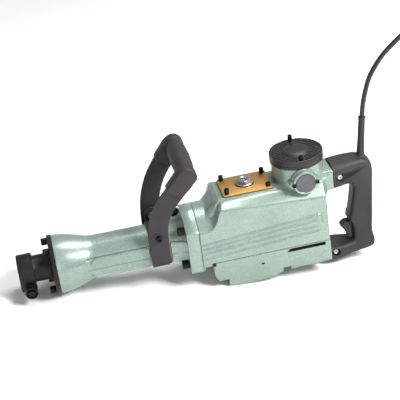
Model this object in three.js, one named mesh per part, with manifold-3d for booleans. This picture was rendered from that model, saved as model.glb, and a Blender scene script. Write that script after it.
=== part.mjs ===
// Electric demolition hammer with a 30 mm hexagon socket. The nose points to -X, the motor stands up along +Z
// and the rear handle is at +X. Millimetres.
//
// The machine is drawn in its own frame, where the barrel runs along X through z = 0 and the motor shaft
// stands on x = y = 0. A group then tips that frame nose down, until the front flange and the gear cover
// both rest on the floor, z = 0.
import * as THREE from 'three';
import { mergeVertices } from 'three/addons/utils/BufferGeometryUtils.js';
import Module from 'manifold-3d';

const wasm = await Module();
wasm.setup();

// Driving dimensions

const GAP = 0.3; // clearance between two pieces that touch
const DRILL = 0.6; // how much wider than its screw a hole is, on the radius
const NOSE_X = -543;
const FLANGE = { front: -480.5, back: -472.6, radius: 56.5 };
const SOCKET_FLATS = 30.4; // across the flats of the tool socket
const COVER_BOLT = { y: 20.5, z: 40.4, head: 6.75, tall: 11, shank: 4, long: 24 };
const BARREL = { front: -472.3, rear: -232, mouth: 55.6, waistRadius: 40.5, rearRadius: 46 };
const CASE_FLANGE = { front: -230, back: -206.3, half: 58, crown: 64, low: -47 };
const CASE_BOLT = { y: 38, z: 36, head: 8, tall: 13, shank: 5, long: 34 };
const BORE = 26; // radius of the cylinder that the piston and striker run in
const LINER = { front: -391.7, rear: -200, outer: 31 };
const HAMMER_BORE = 22.2;

const BODY = { front: -206, rear: 37, half: 60, shoulder: 67, deck: 82, deckHalf: 41, low: -33.3 };
const WALL = 5;
const PLATFORM = { front: -157, rear: -49, half: 37, top: 84.5 };
const PLATE = { front: -149.3, rear: -55.2, half: 35, bottom: 86.2, thick: 2.8 };
const MOTOR = { radius: 48.5, bore: 43, top: 118.7 };
const CAP = { radius: 50.2, bottom: 119, top: 135.3 };
const BRUSH = { z: 95.7, face: 62.9, radius: 17.5, boss: 22.5, ear: 21.9 };
const BRACKET = { rear: 60.7, half: 29, low: 53, high: 93 };
const COVER = { front: -188, rear: 37, low: -93.5, lowRear: -80, round: 9 };

const CRANK_X = -115;
const COUNTER_X = -45;
const THROW = 24;
const ROD_LENGTH = 90;
const GEARS = {
  crank: { teeth: 40, module: 2.5, low: -78, high: -66 },
  counterPinion: { teeth: 16, module: 2.5, low: -78, high: -65 },
  counterWheel: { teeth: 37, module: 2, low: -62, high: -51.5 },
  motorPinion: { teeth: 8, module: 2, low: -63, high: -50.5 },
};

const HANDLE = { front: 38.3, armFront: 61, rear: 138, half: 29, gripHalf: 20 };
const HANDLE_BOLTS = [
  { name: 'upper', x: 74, z: 73, inset: 7.5 },
  { name: 'lower', x: 54, z: -76, inset: 4.5 },
];
const TRIGGER_HALF = 9;
const GUARD = { x: 121.4, z: 92, long: 85, base: 7.6, top: 6.2 };

const RETAINER = { x: -525.5, z: -23, pin: 8.2, knob: 11.9, tip: -50 };

const SIDE = { x: -280, strapHalf: 18.3, strap: 5, inner: 48.3, gripX: -210, gripZ: 168.4, boltZ: 39 };
const BAND = { inner: 41, outer: 43.5, half: 16.5 };

const CORD_RADIUS = 4.5;
const COIL = { x: 458, y: -100, inner: 31.5, outer: 76.5, tall: 36 };
const PLUG = { x: 520, z: 18.2, long: 83, radius: 18 };

// Colours

const finish = (color, roughness, metalness) => new THREE.MeshStandardMaterial({ color, roughness, metalness });
const GREEN = finish(0x8fae9c, 0.35, 0.3);
const BLACK_STEEL = finish(0x1c1a1b, 0.5, 0.7);
const BLACK_PLASTIC = finish(0x231f20, 0.55, 0);
const RUBBER = finish(0x2a2423, 0.8, 0);
const ZINC_YELLOW = finish(0xb98a4a, 0.35, 0.9);
const BRIGHT_STEEL = finish(0xb9bcc0, 0.3, 1);
const GASKET = finish(0x3d3a35, 0.9, 0);
const COPPER = finish(0xa9603a, 0.4, 0.9);
const GREY_PLASTIC = finish(0x55535a, 0.6, 0);

// Geometry helpers. Every shape is made in place, so a piece reads as a list of its features.

const UP = { x: new THREE.Vector3(1, 0, 0), y: new THREE.Vector3(0, 1, 0), z: new THREE.Vector3(0, 0, 1) };

function toSolid(geometry) {
  const bare = geometry.clone();
  bare.deleteAttribute('normal');
  bare.deleteAttribute('uv');
  const merged = mergeVertices(bare, 1e-4);
  return new wasm.Manifold(new wasm.Mesh({
    numProp: 3,
    vertProperties: Float32Array.from(merged.attributes.position.array),
    triVerts: Uint32Array.from(merged.index.array),
  }));
}

function toGeometry(solid) {
  const mesh = solid.getMesh();
  const geometry = new THREE.BufferGeometry();
  geometry.setAttribute('position', new THREE.BufferAttribute(mesh.vertProperties, 3));
  geometry.setIndex(new THREE.BufferAttribute(mesh.triVerts, 1));
  geometry.computeVertexNormals();
  return geometry;
}

const join = (first, ...others) => others.reduce((whole, part) => whole.add(part), first);
const cut = (body, ...tools) => tools.reduce((whole, tool) => whole.subtract(tool), body);

// Turns a geometry made along +Y, at the origin, to run along an axis through `at`, its two other coordinates.
function aim(geometry, axis, at, along) {
  if (axis === 'x') geometry.rotateZ(-Math.PI / 2).translate(along, at[0], at[1]);
  if (axis === 'y') geometry.translate(at[0], along, at[1]);
  if (axis === 'z') geometry.rotateX(Math.PI / 2).translate(at[0], at[1], along);
  return geometry;
}

function rod(axis, at, from, to, radius, sides = 32, endRadius = radius) {
  const geometry = new THREE.CylinderGeometry(endRadius, radius, to - from, sides);
  return toSolid(aim(geometry, axis, at, (from + to) / 2));
}

function block([x0, x1], [y0, y1], [z0, z1]) {
  const geometry = new THREE.BoxGeometry(x1 - x0, y1 - y0, z1 - z0);
  return toSolid(geometry.translate((x0 + x1) / 2, (y0 + y1) / 2, (z0 + z1) / 2));
}

// A body of revolution about an axis: profile points are [radius, place along the axis], anticlockwise.
function turned(axis, at, profile, sides = 48) {
  const points = profile.map(([radius, along]) => new THREE.Vector2(radius, along));
  return toSolid(aim(new THREE.LatheGeometry(points, sides), axis, at, 0));
}

function ring(axis, at, from, to, inner, outer, sides = 32) {
  return turned(axis, at, [[inner, from], [outer, from], [outer, to], [inner, to], [inner, from]], sides);
}

const shapeOf = (points) => new THREE.Shape(points.map(([u, v]) => new THREE.Vector2(u, v)));

// An outline extruded along an axis. Its points are [y, z] along x, [x, z] along y and [x, y] along z.
function prismGeometry(axis, outline, from, to, round = 0) {
  const geometry = new THREE.ExtrudeGeometry(shapeOf(outline), {
    depth: to - from - 2 * round,
    bevelEnabled: round > 0,
    bevelThickness: round,
    bevelSize: round,
    bevelOffset: -round,
    bevelSegments: 3,
    curveSegments: 8,
  });
  geometry.translate(0, 0, round);
  const turn = new THREE.Matrix4();
  if (axis === 'x') turn.makeBasis(UP.y, UP.z, UP.x).setPosition(from, 0, 0);
  if (axis === 'y') turn.makeBasis(UP.x, UP.z, UP.y.clone().negate()).setPosition(0, to, 0);
  if (axis === 'z') turn.setPosition(0, 0, from);
  return geometry.applyMatrix4(turn);
}

const prism = (...shape) => toSolid(prismGeometry(...shape));

function polygon(corners, radius, phase = 0) {
  return Array.from({ length: corners }, (_, i) => {
    const angle = phase + (2 * Math.PI * i) / corners;
    return [radius * Math.cos(angle), radius * Math.sin(angle)];
  });
}

// Points of an arc, from one angle to another in degrees.
function arc(cx, cy, radius, from, to, steps) {
  return Array.from({ length: steps + 1 }, (_, i) => {
    const angle = THREE.MathUtils.degToRad(from + ((to - from) * i) / steps);
    return [cx + radius * Math.cos(angle), cy + radius * Math.sin(angle)];
  });
}

const hexRadius = (flats) => flats / 2 / Math.cos(Math.PI / 6);
const mirrored = (half, make) => [-half, half].map(make);

// Spur gear outline with thin straight-flanked teeth, so that a pair turns with backlash.
function gearOutline({ teeth, module: size }) {
  const pitch = (teeth * size) / 2;
  const root = pitch - 1.25 * size;
  const tip = pitch + 0.85 * size;
  const step = (2 * Math.PI) / teeth;
  const points = [];
  for (let i = 0; i < teeth; i += 1) {
    for (const [radius, share] of [[root, -0.25], [tip, -0.09], [tip, 0.09], [root, 0.25]]) {
      const angle = step * (i + share);
      points.push([radius * Math.cos(angle), radius * Math.sin(angle)]);
    }
  }
  return points;
}

function gear(spec, centreX, phase = 0) {
  const outline = gearOutline(spec).map(([x, y]) => [
    centreX + x * Math.cos(phase) - y * Math.sin(phase),
    x * Math.sin(phase) + y * Math.cos(phase),
  ]);
  return prism('z', outline, spec.low, spec.high);
}

// Scene

const tool = new THREE.Group();

function add(name, solid, material, parent = tool) {
  const mesh = new THREE.Mesh(solid instanceof THREE.BufferGeometry ? solid : toGeometry(solid), material);
  mesh.name = name;
  parent.add(mesh);
  return mesh;
}

// Socket-head cap screw along +Z with its head above z = 0.
function capScrew(head, tall, shank, long) {
  return join(rod('z', [0, 0], 0, tall, head, 12), rod('z', [0, 0], -long, 0.5, shank, 8));
}

const FACING = {
  '-x': [0, -Math.PI / 2, 0],
  '+y': [-Math.PI / 2, 0, 0],
  '-y': [Math.PI / 2, 0, 0],
  '+z': [0, 0, 0],
  '-z': [Math.PI, 0, 0],
};

function addScrews(name, screw, places, facing, material) {
  const geometry = toGeometry(screw);
  places.forEach((place, i) => {
    const mesh = add(places.length > 1 ? `${name}_${i + 1}` : name, geometry, material);
    mesh.position.set(...place);
    mesh.rotation.set(...FACING[facing]);
  });
}

// Nose: the socket that takes the chisel, its flange and the tool retainer

const coverHoles = mirrored(COVER_BOLT.y, (y) => mirrored(COVER_BOLT.z, (z) => [y, z])).flat();
add('front_cover', cut(
  join(
    rod('x', [0, 0], FLANGE.front, FLANGE.back, FLANGE.radius, 40),
    rod('x', [0, 0], -516, FLANGE.front + 1, 25, 28),
    rod('x', [0, 0], -490, FLANGE.front + 1, 24, 28, 30),
    rod('x', [0, 0], NOSE_X, -514, 31, 32),
    rod('x', [0, -9], NOSE_X, -514, 32, 32),
  ),
  prism('x', polygon(6, hexRadius(SOCKET_FLATS)), NOSE_X - 1, FLANGE.back + 1),
  rod('y', [RETAINER.x, RETAINER.z], -50, 50, RETAINER.pin + GAP, 16),
  ...coverHoles.map((at) => rod('x', at, FLANGE.front - 1, FLANGE.back + 1, COVER_BOLT.shank + DRILL, 8)),
), BLACK_STEEL);

addScrews('front_cover_bolt', capScrew(COVER_BOLT.head, COVER_BOLT.tall, COVER_BOLT.shank, COVER_BOLT.long),
  coverHoles.map(([y, z]) => [FLANGE.front - GAP, y, z]), '-x', BLACK_STEEL);

// The pin is cut away over the socket on one side, so that half a turn frees the chisel.
add('retainer_pin', cut(
  join(
    rod('y', [RETAINER.x, RETAINER.z], RETAINER.tip + 16.3, 36, RETAINER.pin, 16),
    rod('y', [RETAINER.x, RETAINER.z], RETAINER.tip - 0.6, RETAINER.tip + 17, 6, 16),
  ),
  block([-540, -506], [-15, 15], [RETAINER.z - 12, RETAINER.z - 2]),
  block([RETAINER.x - 1, RETAINER.x + 1], [-60, RETAINER.tip + 1], [-40, 0]),
), BLACK_STEEL);
add('retainer_knob',
  ring('y', [RETAINER.x, RETAINER.z], RETAINER.tip, RETAINER.tip + 16, 6 + GAP, RETAINER.knob, 24), BLACK_STEEL);

// Barrel: the cylinder case, its liner and the pieces that fly in it

function caseOutline(low) {
  const { half, crown } = CASE_FLANGE;
  const edge = THREE.MathUtils.radToDeg(Math.acos((half - 7) / crown));
  const shoulder = Math.sqrt(crown ** 2 - (half - 7) ** 2);
  return [
    [-half, low], [half, low], [half, shoulder - 8], [half - 2, shoulder - 3],
    ...arc(0, 0, crown, edge, 180 - edge, 12),
    [2 - half, shoulder - 3], [-half, shoulder - 8],
  ];
}

const caseHoles = mirrored(CASE_BOLT.y, (y) => mirrored(CASE_BOLT.z, (z) => [y, z])).flat();
const pads = [[-412, -300], [-260, -226]].flatMap((span) => mirrored(1, (side) =>
  block(span, side > 0 ? [30, 42] : [-42, -30], [-22, 18.5])));
add('cylinder_case', cut(
  join(
    turned('x', [0, 0], [
      [0, BARREL.front], [BARREL.mouth, BARREL.front], [55.2, -464], [52, -444], [46.5, -424],
      [42, -411], [BARREL.waistRadius, -402], [BARREL.waistRadius, -262],
      [BARREL.rearRadius, BARREL.rear], [BARREL.rearRadius, CASE_FLANGE.back], [0, CASE_FLANGE.back],
    ], 36),
    prism('x', caseOutline(CASE_FLANGE.low), CASE_FLANGE.front, CASE_FLANGE.back),
    ...pads,
  ),
  rod('x', [0, 0], BARREL.front - 1, LINER.front - 2, HAMMER_BORE + GAP, 28),
  rod('x', [0, 0], LINER.front - GAP, CASE_FLANGE.back + 1, LINER.outer + GAP, 32),
  ...coverHoles.map((at) => rod('x', at, BARREL.front - 1, -455, COVER_BOLT.shank + DRILL, 8)),
  ...caseHoles.map((at) => rod('x', at, -255, CASE_FLANGE.front, CASE_BOLT.head + 1, 14)),
  ...caseHoles.map((at) => rod('x', at, -256, CASE_FLANGE.back + 1, CASE_BOLT.shank + DRILL, 8)),
), GREEN);
addScrews('case_bolt', capScrew(CASE_BOLT.head, CASE_BOLT.tall, CASE_BOLT.shank, CASE_BOLT.long),
  caseHoles.map(([y, z]) => [CASE_FLANGE.front - GAP, y, z]), '-x', BLACK_STEEL);

add('cylinder_liner', ring('x', [0, 0], LINER.front, LINER.rear, BORE, LINER.outer, 32), BRIGHT_STEEL);
add('second_hammer', turned('x', [0, 0], [
  [0, -467], [13, -467], [15, -464], [15, -424], [HAMMER_BORE, -418], [HAMMER_BORE, -406], [0, -402],
], 28), BRIGHT_STEEL);
add('striker', turned('x', [0, 0], [
  [0, -390.5], [18, -390.5], [21, -386], [BORE - GAP, -384], [BORE - GAP, -372], [BORE - 3, -371],
  [BORE - 3, -367], [BORE - GAP, -366], [BORE - GAP, -328], [0, -328],
], 28), BRIGHT_STEEL);

const WRIST_X = CRANK_X - THROW - ROD_LENGTH;
add('piston', cut(
  rod('x', [0, 0], -272, -213, BORE - GAP, 28),
  rod('x', [0, 0], -258, -212, 20, 24),
  rod('z', [WRIST_X, 0], -30, 30, 5 + GAP, 14),
), BRIGHT_STEEL);
add('wrist_pin', rod('z', [WRIST_X, 0], -24, 24, 5, 14), BRIGHT_STEEL);
add('connecting_rod', cut(
  join(
    rod('z', [CRANK_X - THROW, 0], -6, 7, 14, 24),
    rod('z', [WRIST_X, 0], -6, 6, 9.5, 16),
    block([WRIST_X + 5, CRANK_X - THROW - 11], [-5.5, 5.5], [-5, 5]),
  ),
  rod('z', [CRANK_X - THROW, 0], -7, 8, 7.6, 16),
  rod('z', [WRIST_X, 0], -7, 7, 5 + GAP, 14),
), BRIGHT_STEEL);

// Main housing: the casting that holds the crank and the motor

const bodyOutline = [
  [-BODY.half, BODY.low], [BODY.half, BODY.low], [BODY.half, BODY.shoulder - 4],
  [BODY.half - 2, BODY.shoulder], [BODY.deckHalf, BODY.deck - 2], [BODY.deckHalf - 4, BODY.deck],
  [4 - BODY.deckHalf, BODY.deck], [-BODY.deckHalf, BODY.deck - 2], [2 - BODY.half, BODY.shoulder],
  [-BODY.half, BODY.shoulder - 4],
];
const rampOutline = [
  [-190, 40], [-184, 60], [-178, 64], [-171, 73], [-164, 81], [PLATFORM.front, PLATFORM.top],
  [PLATFORM.rear, PLATFORM.top], [PLATFORM.rear, 40],
];
const noseCut = [[-207, 46], [-186, 46], [-172, 52], [-160, BODY.deck + 1], [-207, BODY.deck + 1]];
const ears = mirrored(BRUSH.ear, (x) => rod('y', [x, BRUSH.z], -58, 58, 6.5, 14));
const plateCorners = mirrored(27.5, (y) => [PLATE.front + 8, PLATE.rear - 8].map((x) => [x, y])).flat();
const bosses = {
  crank: rod('z', [CRANK_X, 0], -48, BODY.low + 1, 26, 24),
  counter: rod('z', [COUNTER_X, 0], -48, BODY.low + 1, 12, 16),
  motor: rod('z', [0, 0], -48, BODY.low + 1, 20, 24),
};
add('main_housing', cut(
  join(
    prism('x', caseOutline(CASE_FLANGE.low), BODY.front, -160),
    cut(prism('x', bodyOutline, -186, BODY.rear), prism('y', noseCut, -70, 70)),
    prism('y', rampOutline, -PLATFORM.half, PLATFORM.half),
    rod('z', [0, 0], 20, MOTOR.top, MOTOR.radius, 36),
    rod('y', [0, BRUSH.z], 2 - BRUSH.face, BRUSH.face - 2, BRUSH.boss, 28),
    ...ears,
    block([20, BRACKET.rear], [-BRACKET.half, BRACKET.half], [BRACKET.low, BRACKET.high]),
    bosses.crank,
    bosses.counter,
    bosses.motor,
  ),
  block([COVER.front - 1, BODY.rear + 1], [-BODY.half - 1, BODY.half + 1], [-60, BODY.low])
    .subtract(bosses.crank).subtract(bosses.counter).subtract(bosses.motor),
  rod('x', [0, 0], BODY.front - 1, -150, LINER.outer + GAP, 28),
  rod('z', [CRANK_X, 0], -28, 72, 52, 32),
  block([-141, -64], [-26, 26], [70, PLATFORM.top + 1]),
  rod('z', [CRANK_X, 0], -49, -27, 9.5, 16),
  rod('z', [CRANK_X, 0], -49, -34, 20 + GAP, 24),
  rod('z', [COUNTER_X, 0], -49, -38, 6 + GAP, 14),
  rod('z', [0, 0], -27, MOTOR.top + 1, MOTOR.bore, 32),
  rod('z', [0, 0], -49, -26, 7.5, 16),
  rod('z', [0, 0], -49, -36, 14 + GAP, 20),
  rod('y', [0, BRUSH.z], -70, 70, 12.3, 16),
  ...mirrored(BRUSH.ear, (x) => rod('y', [x, BRUSH.z], -70, 70, 2.6, 8)),
  ...caseHoles.map((at) => rod('x', at, BODY.front - 1, -192, CASE_BOLT.shank + DRILL, 8)),
  ...plateCorners.map((at) => rod('z', at, 70, PLATFORM.top + 1, 3 + DRILL, 8)),
  rod('y', [50, 73], -31, 31, 4.3, 8),
  block([34, BODY.rear + 1], [-8, 8], [-10, 20]),
), GREEN);

add('oil_gasket', cut(
  block([PLATE.front + 1, PLATE.rear - 1], [1 - PLATE.half, PLATE.half - 1],
    [PLATFORM.top + GAP, PLATE.bottom - GAP]),
  block([-140, -65], [-25, 25], [PLATFORM.top, PLATE.bottom + 1]),
  ...plateCorners.map((at) => rod('z', at, 80, 90, 3 + DRILL, 8)),
), GASKET);
const plateTop = PLATE.bottom + PLATE.thick;
const plateMiddle = [(PLATE.front + PLATE.rear) / 2, 0];
add('oil_plate', cut(
  prism('z', [
    [PLATE.front + 3, -PLATE.half], [PLATE.rear - 3, -PLATE.half], [PLATE.rear, 3 - PLATE.half],
    [PLATE.rear, PLATE.half - 3], [PLATE.rear - 3, PLATE.half], [PLATE.front + 3, PLATE.half],
    [PLATE.front, PLATE.half - 3], [PLATE.front, 3 - PLATE.half],
  ], PLATE.bottom, plateTop),
  rod('z', plateMiddle, 80, 95, 9 + GAP, 16),
  ...plateCorners.map((at) => rod('z', at, 80, 95, 3 + DRILL, 8)),
), ZINC_YELLOW);
addScrews('oil_plate_bolt', capScrew(4.6, 8, 3, 15), plateCorners.map(([x, y]) => [x, y, plateTop + GAP]),
  '+z', BLACK_STEEL);
add('oil_plug', cut(
  join(
    rod('z', plateMiddle, plateTop + GAP, plateTop + 3, 17, 28),
    prism('z', polygon(6, hexRadius(25)).map(([x, y]) => [x + plateMiddle[0], y]), plateTop + 2, plateTop + 10),
    rod('z', plateMiddle, 78, plateTop + 1, 9, 16),
  ),
  rod('z', plateMiddle, plateTop + 4, plateTop + 11, 6.5, 14),
), BRIGHT_STEEL);

// Gear cover under the housing

const coverOutline = [
  [COVER.rear, -20], [COVER.rear, COVER.lowRear + 5], [30, COVER.lowRear], [-52, -82], [-64, -86],
  [-80, -91], [-98, COVER.low], [-130, COVER.low], [-161, -90], [-179, -78], [COVER.front, -60],
  [COVER.front, -48], [-175, -48], [-175, -20],
];
const coverScrews = [[-170, 44], [-170, -44], [-50, 48], [-50, -48]];
const coverInside = [
  [COVER.rear - WALL, -20], [COVER.rear - WALL, COVER.lowRear + WALL], [-58, -78], [-80, -85],
  [-98, COVER.low + WALL], [-130, COVER.low + WALL], [-158, -84], [-170, -74], [-170, -20],
];
const coverPosts = coverScrews.map(([x, y]) => block([x - 11, x + 11], [y - 11, y + 11], [-92, -36]));
const coverShell = prism('y', coverOutline, -BODY.half, BODY.half, COVER.round);
add('gear_cover', cut(
  join(
    cut(coverShell, prism('y', coverInside, WALL - BODY.half, BODY.half - WALL)),
    ...coverPosts.map((post) => post.intersect(coverShell)),
    rod('z', [COUNTER_X, 0], -84, -80, 12, 16),
  ),
  block([-200, 60], [-70, 70], [BODY.low - GAP, 0]),
  ...mirrored(BODY.half, (y) => block([-47, 27], [y - 7, y + 7], [-43, 0])),
  ...coverScrews.map((at) => rod('z', at, -100, -75, 7, 14)),
  ...coverScrews.map((at) => rod('z', at, -100, 0, 3 + DRILL, 8)),
  rod('z', [CRANK_X, 0], -86, -60, 54, 36),
  rod('z', [COUNTER_X, 0], -83, -60, 6 + GAP, 14),
  rod('z', [COUNTER_X, 0], -79, -40, 24, 16),
  rod('z', [COUNTER_X, 0], -63, -40, 41, 24),
  block([30, 40], [-33, 33], [-90, -66]),
), GREEN);
addScrews('gear_cover_screw', capScrew(5, 6, 3, 32), coverScrews.map(([x, y]) => [x, y, -75 - GAP]),
  '-z', BLACK_STEEL);

// Motor

const louvreRows = [-24, -16, -8, 0, 8, 16, 24];
function louvre(side, y) {
  const end = 43 - Math.abs(y) / 4;
  return block(side > 0 ? [31, end] : [-end, -31], [y - 1.2, y + 1.2], [CAP.top - 10, CAP.top + 5]);
}
add('motor_cap', cut(
  turned('z', [0, 0], [
    [0, CAP.bottom], [CAP.radius, CAP.bottom], [CAP.radius, CAP.top - 1.5], [CAP.radius - 1.5, CAP.top],
    [27, CAP.top - 0.5], [24, CAP.top + 1], [17, CAP.top + 3], [8, CAP.top + 4], [0, CAP.top + 4.3],
  ], 36),
  rod('z', [0, 0], CAP.bottom - 1, CAP.top - 5, CAP.radius - 5, 32),
  ...mirrored(40, (y) => rod('z', [0, y], CAP.bottom - 1, CAP.top + 6, 3 + DRILL, 8)),
  ...mirrored(1, (side) => louvreRows.map((y) => louvre(side, y))).flat(),
), BLACK_PLASTIC);
addScrews('motor_cap_screw', capScrew(4.2, 7, 3, 10), [40, -40].map((y) => [0, y, CAP.top + GAP]),
  '+z', BLACK_STEEL);

add('stator', ring('z', [0, 0], 8, 72, 28, MOTOR.bore - GAP, 28), COPPER);
add('armature', join(
  rod('z', [0, 0], -64, 117, 6, 16),
  rod('z', [0, 0], 10, 70, 26.5, 28),
  rod('z', [0, 0], 84, 107, 15, 24),
  gear(GEARS.motorPinion, 0, Math.PI / GEARS.motorPinion.teeth),
), COPPER);
const blades = Array.from({ length: 8 }, (_, i) =>
  toSolid(new THREE.BoxGeometry(22, 2, 12).translate(20, 0, -16).rotateZ((i * Math.PI) / 4)));
add('cooling_fan', cut(
  join(rod('z', [0, 0], -24, -21, 32, 28), rod('z', [0, 0], -24, -10, 11, 16), ...blades),
  rod('z', [0, 0], -25, -9, 6 + GAP, 16),
), BLACK_PLASTIC);

for (const [side, sign] of [['near', -1], ['far', 1]]) {
  const reach = (a, b) => (sign > 0 ? [a, b] : [-b, -a]);
  add(`brush_${side}`, block([-4, 4], reach(15.5, 40), [BRUSH.z - 6, BRUSH.z + 6]), GREY_PLASTIC);
  add(`brush_cap_${side}`, cut(
    join(
      rod('y', [0, BRUSH.z], ...reach(BRUSH.face - 1.7, BRUSH.face), BRUSH.radius, 28),
      rod('y', [0, BRUSH.z], ...reach(45, BRUSH.face - 1), 12, 16),
      block([-BRUSH.ear - 2, BRUSH.ear + 2], reach(BRUSH.face - 1.7, BRUSH.face - 0.7),
        [BRUSH.z - 3, BRUSH.z + 3]),
    ),
    ...mirrored(BRUSH.ear, (x) => rod('y', [x, BRUSH.z], -70, 70, 2.3, 8)),
    rod('y', [0, BRUSH.z], ...reach(BRUSH.face - 1, BRUSH.face + 1), 2.5, 12),
  ), GREY_PLASTIC);
}

// Crank train: the motor pinion turns the countershaft, which turns the crank gear

add('countershaft', join(
  rod('z', [COUNTER_X, 0], -82.5, -39, 6, 14),
  gear(GEARS.counterPinion, COUNTER_X),
  gear(GEARS.counterWheel, COUNTER_X),
), BRIGHT_STEEL);
add('crankshaft', join(
  rod('z', [CRANK_X, 0], -84, -24, 8.4, 16),
  cut(rod('z', [CRANK_X, 0], -26.5, -15, 36, 28), block([-100, -60], [-40, -20], [-30, 0]),
    block([-100, -60], [20, 40], [-30, 0])),
  rod('z', [CRANK_X - THROW, 0], -16, -7, 7, 16),
), BRIGHT_STEEL);
add('crank_gear', cut(
  gear(GEARS.crank, CRANK_X, Math.PI / GEARS.crank.teeth),
  rod('z', [CRANK_X, 0], -80, -60, 8.4 + GAP, 16),
), BRIGHT_STEEL);
add('crank_bearing', ring('z', [CRANK_X, 0], -47, -34 - GAP, 8.4 + GAP, 20, 24), BRIGHT_STEEL);

// Rear handle with its trigger

const handleOutline = [
  [HANDLE.armFront, 93.5], [112, 97], [124, 95.5], [134, 90], [HANDLE.rear, 80], [136.5, 40], [134, 0],
  [131, -40], [129.5, -58], [133, -66], [136, -71], [136, -84], [132, -89], [100, -93], [71, -96],
  [60, -99], [HANDLE.front, -99], [HANDLE.front, -52], [62, -56], [80, -58.5], [92, -62], [94, -40],
  [92, -31], [80, -27.5], [78.5, -22], [86, -14], [91.5, 0], [95, 20], [97, 44], [93, 53], [86, 56],
  [HANDLE.armFront, 56.5],
];
const sideCut = (side) => {
  const { half, gripHalf } = HANDLE;
  const outline = [[66, half + 1], [95, gripHalf], [132, gripHalf - 1], [140, gripHalf - 5], [150, gripHalf - 5],
    [150, half + 3], [66, half + 3]];
  return prism('z', outline.map(([x, y]) => [x, side * y]), -110, 110);
};
add('rear_handle', cut(
  prism('y', handleOutline, -HANDLE.half, HANDLE.half),
  sideCut(-1),
  sideCut(1),
  prism('y', [[70, -31.5], [104, -31.5], [104, -75], [70, -75]], -TRIGGER_HALF - 0.6, TRIGGER_HALF + 0.6),
  block([100, 124], [-11, 11], [-70, -14]),
  rod('z', [GUARD.x, 0], 76, 100, GUARD.base + 1.6, 16),
  ...HANDLE_BOLTS.map(({ x, z }) => rod('y', [x, z], -40, 40, 4.3, 12)),
  ...HANDLE_BOLTS.flatMap(({ x, z, inset }) => mirrored(HANDLE.half, (y) =>
    rod('y', [x, z], y - inset - 0.5, y + inset + 0.5, 7, 14))),
), BLACK_PLASTIC);
for (const { name, x, z, inset } of HANDLE_BOLTS) {
  const face = HANDLE.half - inset;
  add(`handle_bolt_${name}`, join(
    rod('y', [x, z], -face - 5, -face, 6, 14),
    rod('y', [x, z], -face - 1, face, 4, 12),
  ), BRIGHT_STEEL);
}

add('trigger', prism('y', [
  [78.5, -72.5], [91, -72.5], [93.5, -68], [92, -34.5], [76, -34.5], [69.5, -38], [70.5, -44], [74, -54],
  [76, -64],
], -TRIGGER_HALF, TRIGGER_HALF, 1.5), BLACK_PLASTIC);
add('switch_body', block([101, 121], [-10.5, 10.5], [-66, -20]), GREY_PLASTIC);

// Side handle: a steel bow clamped round the barrel, with a rubber grip moulded over its top

const bowLine = [[-280.5, -21.7], [-280.5, 36], [-276, 70], [-262, 104], [-240, 134], [-216, 160]];

// The bow's side view: a strap of even width along its line, with a round end at the grip.
function bowOutline(margin) {
  const curve = new THREE.CatmullRomCurve3(bowLine.map(([x, z]) => new THREE.Vector3(x, z, 0)));
  const steps = 12;
  const half = SIDE.strapHalf + margin;
  const edge = (side) => Array.from({ length: steps + 1 }, (_, i) => {
    const place = curve.getPoint(i / steps);
    const ahead = curve.getTangent(i / steps);
    return [place.x - side * ahead.y * half, place.y + side * ahead.x * half];
  });
  return [...edge(-1), ...edge(1).reverse()];
}

// How far the bow leans outwards at a height.
const leanAt = (z) => 22 * (Math.max(0, z - 60) / 100);

function bowSide(side, margin = 0) {
  const inner = SIDE.inner - margin;
  const outer = SIDE.inner + SIDE.strap + margin;
  const [from, to] = side > 0 ? [inner, outer] : [-outer, -inner];
  const geometry = prismGeometry('y', bowOutline(margin), from, to);
  const place = geometry.attributes.position;
  for (let i = 0; i < place.count; i += 1) {
    place.setY(i, place.getY(i) + side * leanAt(place.getZ(i)));
  }
  return toSolid(geometry);
}

const bowHoles = rod('y', [SIDE.x, SIDE.boltZ], -70, 70, 4 + DRILL, 8);
add('side_handle_bow', cut(
  join(
    bowSide(-1),
    bowSide(1),
    rod('y', [SIDE.gripX, SIDE.gripZ], -72, 72, 9, 16),
    ...mirrored(1, (side) => block([-226, -200], side > 0 ? [66, 72] : [-72, -66], [150, 176])),
  ),
  bowHoles,
), BLACK_STEEL);

// Each end of the grip is a boot that reaches down over the strap.
function boot(side) {
  const outline = [
    [-257, 146], [-231, 124], [-193, 158], [-191, 168], [-195, 180], [-205, 187], [-217, 187], [-228, 180],
  ];
  const [from, to] = side > 0 ? [56, 79] : [-79, -56];
  const geometry = prismGeometry('y', outline, from, to, 3);
  const place = geometry.attributes.position;
  for (let i = 0; i < place.count; i += 1) {
    const drop = Math.max(0, 160 - place.getZ(i)) / 36;
    place.setY(i, place.getY(i) - side * 5 * drop);
  }
  return toSolid(geometry);
}

const strapPockets = [-1, 1].map((side) => bowSide(side, 2 * GAP));
add('side_grip', cut(
  join(
    turned('y', [SIDE.gripX, SIDE.gripZ], [
      [0, -66], [17, -66], [17, -50], [18.2, -30], [19, 0], [18.2, 30], [17, 50], [17, 66], [0, 66],
    ], 24),
    boot(-1),
    boot(1),
  ),
  rod('y', [SIDE.gripX, SIDE.gripZ], -72 - GAP, 72 + GAP, 9 + GAP, 16),
  ...mirrored(1, (side) => block([-226.5, -199.5], side > 0 ? [65.5, 72.5] : [-72.5, -65.5], [149.5, 176.5])),
  ...strapPockets,
), RUBBER);

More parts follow.
